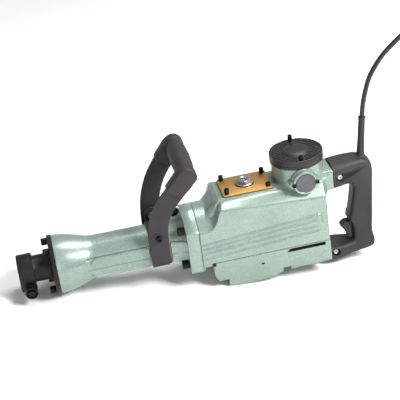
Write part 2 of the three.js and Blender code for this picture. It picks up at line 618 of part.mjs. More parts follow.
const bandSpan = [SIDE.x - BAND.half, SIDE.x + BAND.half];
const bandRing = ring('x', [0, 0], ...bandSpan, BAND.inner, BAND.outer, 36);
const bandEars = mirrored(1, (side) => prism('y', [
  ...arc(SIDE.x, SIDE.boltZ + 2, 13.5, 0, 180, 10), [SIDE.x - 13.5, 2], [SIDE.x + 13.5, 2],
], ...(side > 0 ? [38, SIDE.inner - GAP] : [GAP - SIDE.inner, -38])));
add('band_upper', cut(
  join(bandRing.intersect(block([-310, -250], [-60, 60], [GAP, 60])), ...bandEars),
  rod('x', [0, 0], -310, -250, BAND.inner, 36),
  bowHoles,
), BLACK_STEEL);
add('band_lower', bandRing.intersect(block([-310, -250], [-60, 60], [-60, -GAP])), BLACK_STEEL);
for (const [side, sign] of [['near', -1], ['far', 1]]) {
  const bolt = add(`side_bolt_${side}`, toGeometry(capScrew(6, 5.5, 4, 14)), BLACK_STEEL);
  bolt.position.set(SIDE.x, sign * (SIDE.inner + SIDE.strap + GAP), SIDE.boltZ);
  bolt.rotation.set(...FACING[sign > 0 ? '+y' : '-y']);
}

// Cord guard, upright on the handle while the machine rests

const rest = Math.atan2(-COVER.low - FLANGE.radius, -130 - FLANGE.front);
const guard = add('cord_guard', turned('z', [0, 0], [
  [0, -10], [GUARD.base, -10], [GUARD.base, 6], [GUARD.top, 20], [GUARD.top, GUARD.long - 4],
  [GUARD.top + 1, GUARD.long - 2], [GUARD.top + 1, GUARD.long], [0, GUARD.long],
], 16), RUBBER);
guard.position.set(GUARD.x, 0, GUARD.z);
guard.rotation.y = rest;

// Rest: tipped nose down onto the flange and the gear cover, centred over the origin

tool.rotation.y = -rest;
const box = new THREE.Box3().setFromObject(tool, true);
tool.position.set(-(box.min.x + box.max.x) / 2, -(box.min.y + box.max.y) / 2, -box.min.z);

// Cord: up out of the guard, over to the side, down to the floor and into a coil

const group = new THREE.Group();
group.add(tool);
group.updateMatrixWorld(true);
const guardEnd = guard.localToWorld(new THREE.Vector3(0, 0, GUARD.long + GAP));

// Offsets from the guard's top, in the resting frame.
const route = [
  [0, 0, 0], [1.5, 0, 27], [5, 0, 50], [11, 0, 75], [22, 0, 98], [36, 0, 119], [53, 0, 137], [69, 0, 152],
  [90, 0, 166], [115, 0, 175], [142, 0, 172], [165, 0, 156], [182, 0, 130], [193, 0, 95], [199, 0, 50],
  [201, 0, 0], [201.5, 0, -60], [201.5, 0, -120], [201.5, -2, -172], [201.4, -13, -214.5],
  [201.3, -35, -242.2], [201.3, -64, -255.1],
];

function cordTube(points, steps) {
  const curve = new THREE.CatmullRomCurve3(points);
  const section = shapeOf(polygon(8, CORD_RADIUS));
  return toSolid(new THREE.ExtrudeGeometry(section, { steps, bevelEnabled: false, extrudePath: curve }));
}

const cordLine = route.map((offset) => guardEnd.clone().add(new THREE.Vector3(...offset)));
add('cord', cordTube(cordLine, 38), RUBBER, group);
add('cord_coil', ring('z', [COIL.x, COIL.y], 0, COIL.tall, COIL.inner, COIL.outer, 28), RUBBER, group);

// The plug lies beside the coil, where the cord's other end comes off the outer turn.
const pins = mirrored(9.5, (offset) => rod('x', [offset, 0], PLUG.long - 1, PLUG.long + 18, 2.4, 12));
const plug = add('cord_plug', join(
  turned('x', [0, 0], [
    [0, 0], [5.2, 0], [6.4, 40], [9, 52], [13, 58], [PLUG.radius, 62], [PLUG.radius, PLUG.long],
    [0, PLUG.long],
  ], 24),
  ...pins,
), BLACK_PLASTIC, group);
plug.position.set(PLUG.x, COIL.y + COIL.outer - CORD_RADIUS, PLUG.z);

export default group;
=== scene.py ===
"""Looks of an electric demolition hammer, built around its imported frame.

The pieces are drawn in the tool's own frame, in millimetres: the barrel runs along X through z = 0, the nose
points to -X and the motor shaft stands on x = y = 0. at_rest() carries them to the resting frame, in metres.
"""

import logging
import math
from dataclasses import dataclass, field
from enum import Enum

import bpy
import numpy as np
from mathutils import Euler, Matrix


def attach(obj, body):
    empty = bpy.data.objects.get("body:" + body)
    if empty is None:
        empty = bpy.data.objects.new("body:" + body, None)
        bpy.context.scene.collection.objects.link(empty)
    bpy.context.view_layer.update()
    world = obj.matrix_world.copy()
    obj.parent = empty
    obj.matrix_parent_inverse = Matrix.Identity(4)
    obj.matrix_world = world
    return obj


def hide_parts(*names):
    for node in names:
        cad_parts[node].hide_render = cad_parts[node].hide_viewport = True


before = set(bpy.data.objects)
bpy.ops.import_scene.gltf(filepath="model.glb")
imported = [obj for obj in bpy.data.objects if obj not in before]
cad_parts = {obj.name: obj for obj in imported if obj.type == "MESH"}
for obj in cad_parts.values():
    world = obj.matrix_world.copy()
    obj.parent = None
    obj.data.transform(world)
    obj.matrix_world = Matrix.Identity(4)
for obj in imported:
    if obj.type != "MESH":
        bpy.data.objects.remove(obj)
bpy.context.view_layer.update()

log = logging.getLogger("hammer")

Array = np.ndarray
Colour = tuple[float, float, float]
Point = tuple[float, float, float]
Span = tuple[float, float]

TILT = 0.10517396107243114  # radians, nose down
REST_AT = (199.59354865908332, 106.6307706141906)  # millimetres along X and Z
MM = 0.001
WALL = 5.0  # millimetres of casting between the housing's outside and its hollow
GAP = 0.3  # millimetres that keep a screw's seat, or the cable's end, off the face that it stands on


def at_rest(points: Array) -> Array:
    """Tips tool-frame points nose down by the tilt, shifts them to where the tool rests, and makes them metres.

    Args:
        points: An array of points in millimetres, with x, y and z in its last axis.

    Returns:
        The same points in the resting frame, in metres.
    """
    x, y, z = points[..., 0], points[..., 1], points[..., 2]
    cos, sin = math.cos(TILT), math.sin(TILT)
    return np.stack([x * cos - z * sin + REST_AT[0], y, x * sin + z * cos + REST_AT[1]], axis=-1) * MM


# Shapes as arrays


class Axis(Enum):
    """The axis that a shape runs along, as the order that puts (across, across, along) back into x, y, z."""

    X = (2, 0, 1)
    Y = (0, 2, 1)
    Z = (0, 1, 2)


class Cap(Enum):
    """How a grid's first and last rows are closed."""

    RING = "they join each other"
    FACE = "one face each"
    POLE = "a fan to the middle of each"


def rays(angle: Array) -> Array:
    """A unit step in the direction of each angle."""
    return np.stack([np.cos(angle), np.sin(angle)], axis=-1)


def stood(across: Array, along: Array, axis: Axis, at: Span = (0.0, 0.0)) -> Array:
    """Puts points given across and along an axis into x, y, z.

    Args:
        across: Two coordinates across the axis, in its last axis: y, z about X; x, z about Y; x, y about Z.
        along: The coordinate along the axis, of a shape that broadcasts with them.
        axis: The axis.
        at: Where the axis passes, in the same two coordinates.

    Returns:
        The points.
    """
    u, v, w = np.broadcast_arrays(across[..., 0] + at[0], across[..., 1] + at[1], along)
    parts = (u, v, w)
    return np.stack([parts[i] for i in axis.value], axis=-1)


def turned(profile: list[Span] | Array, axis: Axis, at: Span = (0.0, 0.0), sides: int = 64,
           flutes: int = 0, depth: float = 0.0) -> Array:
    """A profile carried round an axis: each of its points becomes a circle, whose radius may wave in flutes.

    Args:
        profile: Radius and place along the axis of each point.
        axis: The axis, passing through `at`.
        at: Where the axis passes.
        sides: Points in each circle.
        flutes: Waves round the circle.
        depth: Depth of the waves as a share of the radius.

    Returns:
        Rows of circles.
    """
    profile = np.asarray(profile, float)
    angle = np.arange(sides) * 2 * np.pi / sides
    wave = 1 - depth * (0.5 + 0.5 * np.cos(flutes * angle)) ** 2 if flutes else np.ones(sides)
    circle = rays(angle) * wave[:, None]
    return stood(profile[:, None, :1] * circle[None], profile[:, None, 1], axis, at)


def eased(corners: list[Span] | Array, reach: float, closed: bool = True, steps: int = 4) -> Array:
    """Rounds the corners of an outline: each corner becomes the curve between points a reach away on its sides.

    Args:
        corners: The outline's corners.
        reach: How far from a corner its curve starts, at most 0.45 of the side.
        closed: Whether the last corner joins the first.
        steps: Points on each curve, less one.

    Returns:
        The rounded outline.
    """
    corners = np.asarray(corners, float)
    before, after = np.roll(corners, 1, axis=0) - corners, np.roll(corners, -1, axis=0) - corners
    if not closed:
        before[0], after[-1] = 0, 0

    def stepped(side: Array) -> Array:
        """A point on each side, a reach from its corner."""
        size = np.linalg.norm(side, axis=1, keepdims=True)
        return side / np.maximum(size, 1e-9) * np.minimum(reach, 0.45 * size)

    t = np.linspace(0, 1, steps + 1)[None, :, None]
    a, b = corners + stepped(before), corners + stepped(after)
    curve = (1 - t) ** 2 * a[:, None] + 2 * t * (1 - t) * corners[:, None] + t**2 * b[:, None]
    return curve.reshape(-1, corners.shape[1])


def spline(knots: list[tuple[float, ...]] | Array, count: int) -> Array:
    """A centripetal Catmull-Rom curve, by three rounds of mixing between neighbouring knots.

    Args:
        knots: The points that it passes through, of any dimension.
        count: How many points to return, evenly by knot number.

    Returns:
        Points on the curve.
    """
    knots = np.asarray(knots, float)
    p = np.vstack([2 * knots[:1] - knots[1:2], knots, 2 * knots[-1:] - knots[-2:-1]])
    step = np.linalg.norm(np.diff(p, axis=0), axis=1) ** 0.5
    time = np.concatenate([[0], np.cumsum(np.maximum(step, 1e-6))])
    place = np.linspace(0, len(knots) - 1, count)
    i = np.minimum(place.astype(int), len(knots) - 2)
    t = time[i + 1] + (place - i) * (time[i + 2] - time[i + 1])

    def mixed(a: Array, b: Array, first: Array, last: Array) -> Array:
        """What lies between a and b at time t, which is first at a and last at b."""
        share = ((t - first) / (last - first))[:, None]
        return a + (b - a) * share

    level = [mixed(p[i + k], p[i + k + 1], time[i + k], time[i + k + 1]) for k in range(3)]
    level = [mixed(level[k], level[k + 1], time[i + k], time[i + k + 2]) for k in range(2)]
    return mixed(level[0], level[1], time[i + 1], time[i + 2])


def prism(outline: list[Span] | Array, axis: Axis, low: float, high: float, ease: float = 0.8,
          steps: int = 3) -> Array:
    """An outline carried along an axis, drawn in along a quarter circle at both ends.

    Args:
        outline: Corners of the section.
        axis: The axis it runs along.
        low: Where it starts.
        high: Where it ends.
        ease: Radius of the rounded rim at each end.
        steps: Steps in that rounding.

    Returns:
        Rows of outlines.
    """
    outline = np.asarray(outline, float)
    keep = np.linalg.norm(outline - np.roll(outline, 1, axis=0), axis=1) > 1e-6
    outline = outline[keep]
    side = np.roll(outline, -1, axis=0) - outline
    turn = np.sum(outline[:, 0] * np.roll(outline[:, 1], -1) - outline[:, 1] * np.roll(outline[:, 0], -1))
    normal = np.stack([side[:, 1], -side[:, 0]], axis=-1) * np.sign(turn)
    normal /= np.linalg.norm(normal, axis=1, keepdims=True)
    last = np.roll(normal, 1, axis=0)
    miter = (normal + last) / np.maximum(1 + np.sum(normal * last, axis=1, keepdims=True), 0.3)
    angle = np.linspace(0, np.pi / 2, steps + 1)
    draw, along = ease * (1 - np.sin(angle)), ease * (1 - np.cos(angle))
    draw = np.concatenate([draw, draw[::-1]])
    place = np.concatenate([low + along, (high - along)[::-1]])
    rows = outline[None] - draw[:, None, None] * miter[None]
    return stood(rows, place[:, None], axis)


def swept(path: Array, section: Array, side: Array, size: Array | None = None) -> Array:
    """A section carried along a path, standing square to it.

    Args:
        path: Points of the path.
        section: The section's points, (along the side direction, along the third direction).
        side: One direction, or one for each point, that the section's first coordinate follows.
        size: Scales of the two coordinates for each point.

    Returns:
        Rows of sections.
    """
    ahead = np.gradient(path, axis=0)
    ahead /= np.linalg.norm(ahead, axis=1, keepdims=True)
    first = np.broadcast_to(side, path.shape) - ahead * np.sum(ahead * side, axis=1, keepdims=True)
    first = first / np.linalg.norm(first, axis=1, keepdims=True)
    second = np.cross(ahead, first)
    scale = np.ones((len(path), 2)) if size is None else size
    return (path[:, None] + first[:, None] * (section[None, :, :1] * scale[:, None, :1])
            + second[:, None] * (section[None, :, 1:] * scale[:, None, 1:]))


def box_section(half: Span, power: float = 5.0, count: int = 48) -> Array:
    """A rounded box: |u| to a power plus |v| to that power is one, with its points evenly spaced.

    Args:
        half: Half its width and half its height.
        power: 2 gives an ellipse, and more gives squarer corners.
        count: Points round it.

    Returns:
        The section's points.
    """
    angle = np.linspace(0, 2 * np.pi, 1441)
    reach = np.sum(np.abs(rays(angle)) ** power, axis=-1) ** (-1 / power)
    outline = rays(angle) * reach[:, None] * half
    along = np.concatenate([[0], np.cumsum(np.linalg.norm(np.diff(outline, axis=0), axis=1))])
    at = np.arange(count) * along[-1] / count
    return np.stack([np.interp(at, along, outline[:, k]) for k in range(2)], axis=-1)


def walled(angle: Array, planes: list[tuple[float | Array, float | Array]], power: float = 45.0) -> Array:
    """How far a ray goes before it meets the walls of a rounded section.

    Each wall is a line at a distance from the middle, and the ray's reach to it is that distance over the
    cosine between them. The soft least of the reaches is the power mean that rounds the corners.

    Args:
        angle: The rays' angles.
        planes: The direction of each wall, in degrees, and its distance. Either may differ from row to row.
        power: More gives sharper corners.

    Returns:
        Reaches, by row and ray.
    """
    total = 0.0
    for facing, distance in planes:
        cosine = np.maximum(np.cos(angle - np.radians(np.atleast_1d(facing))[:, None]), 1e-9)
        total = total + (cosine / np.atleast_1d(distance)[:, None]) ** power
    return total ** (-1 / power)


def blended(first: Array, second: Array, reach: float | Array) -> Array:
    """The larger of two lengths, with a fillet where they are within a reach of each other."""
    near = np.clip(1 - np.abs(first - second) / reach, 0, None)
    return np.maximum(first, second) + reach * near**2 / 4


def ramp(value: Array, start: float, end: float) -> Array:
    """A smooth step from 0 at the start to 1 at the end."""
    share = np.clip((value - start) / (end - start), 0, 1)
    return share * share * (3 - 2 * share)


def band(value: Array, low: float, high: float, soft: float) -> Array:
    """1 between low and high, and 0 outside, with soft edges."""
    return ramp(value, low - soft, low + soft) * (1 - ramp(value, high - soft, high + soft))


def about(axis: Axis, along: Array, angle: Array, reach: Array, at: Span = (0.0, 0.0)) -> Array:
    """Points about an axis: each row is at its place along it, and each ray ends at its reach."""
    return stood(reach[..., None] * rays(angle), along[:, None], axis, at)


def spaced(*stretches: tuple[float, float, int]) -> Array:
    """Places along a line, as stretches of (from, to, how many)."""
    return np.unique(np.concatenate([np.linspace(*stretch) for stretch in stretches]))


def linked(name: str, data: bpy.types.ID) -> bpy.types.Object:
    """Makes an object that holds the data, and puts it in the scene."""
    made = bpy.data.objects.new(name, data)
    bpy.context.scene.collection.objects.link(made)
    return made


class Skin:
    """Closed surfaces gathered into one mesh, in tool-frame millimetres."""

    def __init__(self) -> None:
        """Starts with nothing."""
        self.points: list[Array] = []
        self.faces: list[list[int]] = []
        self.finish: list[int] = []
        self.count = 0

    def add(self, grid: Array, cap: Cap = Cap.FACE, inside: bool = False, finish: int | Array = 0) -> "Skin":
        """Adds a grid of points whose last column joins its first.

        Args:
            grid: Points by row and column.
            cap: How its ends are closed. A pole is the middle of the first or last row, which isn't kept.
            inside: Whether its faces look inwards, as round a hollow.
            finish: The number of the finish its faces take, or one for each quad.

        Returns:
            The skin itself.
        """
        poles = grid[[0, -1]].mean(axis=1) if cap is Cap.POLE else None
        if poles is not None:
            grid = grid[1:-1]
        rows, columns = grid.shape[:2]
        index = np.arange(rows * columns).reshape(rows, columns)
        points = grid.reshape(-1, 3)
        near = np.vstack([index, index[:1]]) if cap is Cap.RING else index
        start, end = near[:-1], near[1:]
        quads = np.stack([start, np.roll(start, -1, 1), np.roll(end, -1, 1), end], axis=-1).reshape(-1, 4)
        faces = quads.tolist()
        if poles is not None:
            low, high = len(points), len(points) + 1
            points = np.vstack([points, poles])
            first, last = index[0], index[-1]
            faces += np.stack([np.roll(first, -1), first, np.full(columns, low)], -1).tolist()
            faces += np.stack([last, np.roll(last, -1), np.full(columns, high)], -1).tolist()
        if cap is Cap.FACE:
            faces += [index[0][::-1].tolist(), index[-1].tolist()]
        if (self.volume(points, faces) < 0) != inside:
            faces = [face[::-1] for face in faces]
        numbers = np.broadcast_to(finish, len(quads)).tolist()
        self.finish += numbers + [numbers[0]] * (len(faces) - len(quads))
        self.faces += [[corner + self.count for corner in face] for face in faces]
        self.points.append(points)
        self.count += len(points)
        return self

    @staticmethod
    def volume(points: Array, faces: list[list[int]]) -> float:
        """Six times the volume within the faces: the sum of the triple products of their fans.

        Args:
            points: The points.
            faces: The faces, as numbers of points.

        Returns:
            The sum, which is negative when the faces look inwards.
        """
        fans = [(face[0], b, c) for face in faces for b, c in zip(face[1:-1], face[2:])]
        a, b, c = np.moveaxis(points[np.array(fans)], 1, 0)
        return float(np.sum(a * np.cross(b, c)))

    def made(self, name: str, finishes: "list[Finish] | Finish", crease: float = 34.0,
             resting: bool = False) -> bpy.types.Object:
        """Makes the piece.

        Args:
            name: The piece's name.
            finishes: What its faces are dressed in.
            crease: Edges sharper than this many degrees stay sharp.
            resting: Whether its points are in the resting frame already.

        Returns:
            The object, at the origin.
        """
        mesh = bpy.data.meshes.new(name)
        points = np.vstack(self.points)
        mesh.from_pydata(points * MM if resting else at_rest(points), [], self.faces)
        mesh.polygons.foreach_set("use_smooth", [True] * len(self.faces))
        mesh.set_sharp_from_angle(angle=math.radians(crease))
        for finish in finishes if isinstance(finishes, list) else [finishes]:
            mesh.materials.append(finish.material())
        mesh.polygons.foreach_set("material_index", self.finish)
        mesh.update()
        return linked(name, mesh)


def settle(piece: bpy.types.Object, body: str, finish: "Finish", *nodes: str) -> bpy.types.Object:
    """Hides the CAD nodes that a piece stands for, ties the piece to its body, and reports it.

    Args:
        piece: The finished piece.
        body: The body that it rides on.
        finish: Its main finish; not used.
        nodes: The CAD nodes that it stands for.

    Returns:
        The piece.
    """
    if nodes:
        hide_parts(*nodes)
    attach(piece, body)
    log.info("%s rides on %s", piece.name, body)
    return piece


# Finishes


def tint(red: float, green: float, blue: float) -> Colour:
    """Turns a colour as the eye reads it into the linear light that a shader takes.

    Args:
        red: Its red, from 0 to 1.
        green: Its green.
        blue: Its blue.

    Returns:
        The linear colour.
    """
    value = np.array([red, green, blue])
    linear = np.where(value <= 0.04045, value / 12.92, ((value + 0.055) / 1.055) ** 2.4)
    return tuple(float(part) for part in linear)


class Nodes:
    """A material's node tree, with short calls that add and join nodes."""

    def __init__(self, name: str) -> None:
        """Starts a material with its shader and the object's own coordinates."""
        self.material = bpy.data.materials.new(name)
        self.material.use_nodes = True
        self.tree = self.material.node_tree
        self.shader = self.tree.nodes["Principled BSDF"]
        self.place = self.tree.nodes.new("ShaderNodeTexCoord").outputs["Object"]

    def put(self, node: bpy.types.Node, name: str | int, value: object) -> None:
        """Joins a socket to an input, or sets the input's own value.

        Args:
            node: The node.
            name: The input's name or number.
            value: A socket or a value.
        """
        if isinstance(value, bpy.types.NodeSocket):
            self.tree.links.new(value, node.inputs[name])
        else:
            node.inputs[name].default_value = value

    def add(self, kind: str, inputs: dict[str | int, object], **settings: object) -> bpy.types.Node:
        """Adds a node.

        Args:
            kind: The node's type, without its prefix.
            inputs: Its inputs, as sockets or values.
            settings: Its own settings.

        Returns:
            The node.
        """
        node = self.tree.nodes.new("ShaderNode" + kind)
        for key, value in settings.items():
            setattr(node, key, value)
        for key, value in inputs.items():
            self.put(node, key, value)
        return node

    def noise(self, scale: float, detail: float = 3.0,
              stretch: Point = (1.0, 1.0, 1.0)) -> bpy.types.NodeSocket:
        """Adds cloudy noise, which may be stretched along an axis.

        Args:
            scale: Patches in a metre.
            detail: Finer layers on top.
            stretch: Scales of the coordinates.

        Returns:
            Its socket.
        """
        place = self.place
        if stretch != (1.0, 1.0, 1.0):
            place = self.add("Mapping", {"Vector": place, "Scale": stretch,
                                         "Rotation": (0.0, TILT, 0.0)}).outputs["Vector"]
        return self.add("TexNoise", {"Vector": place, "Scale": scale, "Detail": detail}).outputs["Fac"]

    def cells(self, scale: float) -> bpy.types.NodeSocket:
        """Distance to the middle of the nearest cell, of so many cells a metre."""
        found = self.add("TexVoronoi", {"Vector": self.place, "Scale": scale}, feature="SMOOTH_F1")
        return found.outputs["Distance"]

    def colours(self, share: bpy.types.NodeSocket, stops: list[tuple[float, Colour]]) -> bpy.types.NodeSocket:
        """Adds a run of colours.

        Args:
            share: What chooses the colour, from 0 to 1.
            stops: Places from 0 to 1, with their colours.

        Returns:
            The colour's socket.
        """
        node = self.add("ValToRGB", {"Fac": share})
        elements = node.color_ramp.elements
        while len(elements) < len(stops):
            elements.new(0.5)
        for element, (place, colour) in zip(elements, stops):
            element.position = place
            element.color = (*colour, 1.0)
        return node.outputs["Color"]

    def range(self, share: bpy.types.NodeSocket, low: float, high: float,
              start: float = 0.3, end: float = 0.7) -> bpy.types.NodeSocket:
        """Carries a share from start to end over to low to high."""
        return self.add("MapRange", {"Value": share, "From Min": start, "From Max": end,
                                     "To Min": low, "To Max": high}).outputs["Result"]

    def both(self, first: bpy.types.NodeSocket, second: bpy.types.NodeSocket,
             share: float) -> bpy.types.NodeSocket:
        """One value plus a share of another."""
        return self.add("Math", {0: second, 1: share, 2: first}, operation="MULTIPLY_ADD").outputs[0]

    def mixed(self, share: bpy.types.NodeSocket, first: bpy.types.NodeSocket | Colour,
              second: bpy.types.NodeSocket | Colour) -> bpy.types.NodeSocket:
        """Mixes two colours.

        Args:
            share: 0 gives the first colour, and 1 the second.
            first: The first, as a socket or a colour.
            second: The second.

        Returns:
            The colour's socket.
        """
        node = self.add("Mix", {0: share}, data_type="RGBA")
        for socket, value in ((6, first), (7, second)):
            self.put(node, socket, (*value, 1.0) if isinstance(value, tuple) else value)
        return node.outputs[2]

    def bump(self, height: bpy.types.NodeSocket, depth: float) -> None:
        """Gives the shader a relief of so many metres."""
        node = self.add("Bump", {"Height": height, "Distance": depth, "Strength": 1.0})
        self.put(self.shader, "Normal", node.outputs["Normal"])


@dataclass(frozen=True)
class Finish:
    """A surface with two tones in soft patches, a fine grain, and roughness that follows the grain."""

    name: str
    slot: str
    dark: Colour
    light: Colour
    rough: Span = (0.42, 0.58)
    metal: float = 0.0
    patches: float = 22.0
    grain: float = 1400.0
    depth: float = 0.0001
    coat: float = 0.0
    stretch: Point = (1.0, 1.0, 1.0)

    def material(self) -> bpy.types.Material:
        """The finish as a material, made once."""
        made = bpy.data.materials.get(self.name)
        if made:
            return made
        nodes = Nodes(self.name)
        shader = nodes.shader
        nodes.put(shader, "Metallic", self.metal)
        nodes.put(shader, "Coat Weight", self.coat)
        nodes.put(shader, "Coat Roughness", 0.12)
        self.dress(nodes)
        return nodes.material

    def dress(self, nodes: Nodes) -> None:
        """Patches mixed with grain give the colour, and the grain gives roughness and relief."""
        patches = nodes.noise(self.patches, 4.0)
        grain = nodes.noise(self.grain, 2.0, self.stretch)
        share = nodes.range(nodes.both(patches, grain, 0.6), 0.0, 1.0, 0.5, 1.1)
        nodes.put(nodes.shader, "Base Color", nodes.colours(share, [(0.0, self.dark), (1.0, self.light)]))
        nodes.put(nodes.shader, "Roughness", nodes.range(grain, *self.rough))
        nodes.bump(grain, self.depth)


@dataclass(frozen=True)
class Hammertone(Finish):
    """Hammered enamel: dimpled glossy cells, pale in the middle and darker at the rim, over a slow swell."""

    def dress(self, nodes: Nodes) -> None:
        """Cells give the flecks and the dimples, and slow noise varies the tone."""
        cells = nodes.cells(self.grain)
        swell = nodes.noise(self.patches, 3.0)
        fine = nodes.noise(self.grain * 2.2, 2.0)
        share = nodes.range(nodes.both(cells, fine, 0.9), 0.0, 1.0, 0.55, 1.05)
        flecks = nodes.colours(share, [(0.0, self.light), (0.45, self.light), (1.0, self.dark)])
        deep = tuple(part * 0.86 for part in self.dark)
        tone = nodes.range(swell, 0.0, 0.35)
        nodes.put(nodes.shader, "Base Color", nodes.mixed(tone, flecks, deep))
        nodes.put(nodes.shader, "Roughness", nodes.range(cells, *self.rough, 0.2, 0.8))
        nodes.bump(nodes.both(swell, cells, 0.45), self.depth)


@dataclass(frozen=True)
class ZincBath(Finish):
    """Yellow-passivated zinc: gold that drifts to green and to copper in broad clouds."""

    def dress(self, nodes: Nodes) -> None:
        """Broad clouds choose the hue, and fine stretched grain the gloss."""
        clouds = nodes.noise(self.patches, 3.0)
        grain = nodes.noise(self.grain, 2.0, self.stretch)
        hues = [(0.36, tint(0.52, 0.36, 0.30)), (0.43, self.light), (0.50, self.dark),
                (0.56, tint(0.47, 0.50, 0.33)), (0.63, tint(0.70, 0.46, 0.30))]
        nodes.put(nodes.shader, "Base Color", nodes.colours(clouds, hues))
        nodes.put(nodes.shader, "Roughness", nodes.range(grain, *self.rough))
        nodes.bump(grain, self.depth)


@dataclass(frozen=True)
class Wound(Finish):
    """Enamelled wire in bundles: bands across the winding, with grain between."""

    def dress(self, nodes: Nodes) -> None:
        """Bands of a wave, bent by noise, give the wires."""
        wires = nodes.add("TexWave", {"Vector": nodes.place, "Scale": self.grain, "Distortion": 2.0})
        height = wires.outputs["Fac"]
        nodes.put(nodes.shader, "Base Color", nodes.colours(height, [(0.0, self.dark), (1.0, self.light)]))
        nodes.put(nodes.shader, "Roughness", nodes.range(height, *self.rough))
        nodes.bump(height, self.depth)


CASTING = Hammertone("hammered_enamel", "green_casting", tint(0.43, 0.51, 0.465), tint(0.60, 0.67, 0.64),
                     (0.24, 0.38), 0.35, 14.0, 640.0, 0.00022, 0.3)
STEEL = Finish("blacked_steel", "black_steel", tint(0.09, 0.08, 0.08), tint(0.17, 0.15, 0.15),
               (0.36, 0.55), 0.55, 30.0, 1500.0, 0.00012)
STRAP = Finish("painted_strap", "black_steel", tint(0.125, 0.105, 0.12), tint(0.19, 0.165, 0.185),
               (0.48, 0.62), 0.15, 26.0, 1700.0, 0.00012)
SCREW = Finish("blacked_screw", "black_steel", tint(0.06, 0.06, 0.065), tint(0.13, 0.125, 0.13),
               (0.28, 0.45), 0.7, 60.0, 2500.0, 0.00005)
PLASTIC = Finish("moulded_plastic", "black_plastic", tint(0.115, 0.10, 0.11), tint(0.175, 0.155, 0.17),
                 (0.46, 0.62), 0.0, 18.0, 2400.0, 0.00022)
CAP_PLASTIC = Finish("cap_plastic", "black_plastic", tint(0.095, 0.075, 0.072), tint(0.15, 0.122, 0.118),
                     (0.34, 0.50), 0.0, 30.0, 2000.0, 0.00010)
RUBBER = Finish("grip_rubber", "black_rubber", tint(0.12, 0.10, 0.10), tint(0.175, 0.15, 0.145),
                (0.52, 0.68), 0.0, 25.0, 1900.0, 0.00018)
CORD_SKIN = Finish("cord_jacket", "black_rubber", tint(0.07, 0.07, 0.075), tint(0.13, 0.125, 0.13),
                   (0.38, 0.52), 0.0, 40.0, 2200.0, 0.00006)
ZINC = ZincBath("yellow_zinc", "yellow_zinc", tint(0.60, 0.52, 0.33), tint(0.70, 0.47, 0.25),
                (0.30, 0.46), 0.6, 46.0, 1200.0, 0.00003, 0.0, (1.0, 0.06, 1.0))
BRIGHT = Finish("turned_steel", "bright_steel", tint(0.52, 0.53, 0.55), tint(0.78, 0.79, 0.80),
                (0.20, 0.36), 0.95, 60.0, 1600.0, 0.00002, 0.0, (1.0, 1.0, 0.05))
GREY = Finish("grey_plastic", "grey_plastic", tint(0.36, 0.345, 0.37), tint(0.45, 0.43, 0.46),
              (0.42, 0.56), 0.0, 40.0, 1900.0, 0.00016)
BOARD = Finish("gasket_board", "gasket_board", tint(0.17, 0.15, 0.13), tint(0.27, 0.25, 0.21),
               (0.8, 0.95), 0.0, 60.0, 1600.0, 0.00010)
WINDINGS = Wound("copper_windings", "copper_windings", tint(0.35, 0.18, 0.10), tint(0.75, 0.45, 0.28),
                 (0.3, 0.5), 0.8, 0.0, 320.0, 0.0003)
# Painted shadow: SHADOW is a near-black finish put on faces where there is only shade, in the gear cover's vents and
# mark, the motor cap's louvre slits and the ring under the oil plug.
SHADOW = Finish("painted_shadow", "black_plastic", tint(0.03, 0.03, 0.03), tint(0.06, 0.055, 0.055),
                (0.7, 0.9), 0.0, 40.0, 1500.0, 0.0001)


# Camera, lights and floor


@dataclass(frozen=True)
class Lamp:
    """A square soft light: where it hangs and aims, and its side, in metres, with its watts and its colour."""

    name: str
    at: Point
    aim: Point
    size: float
    power: float
    colour: Colour


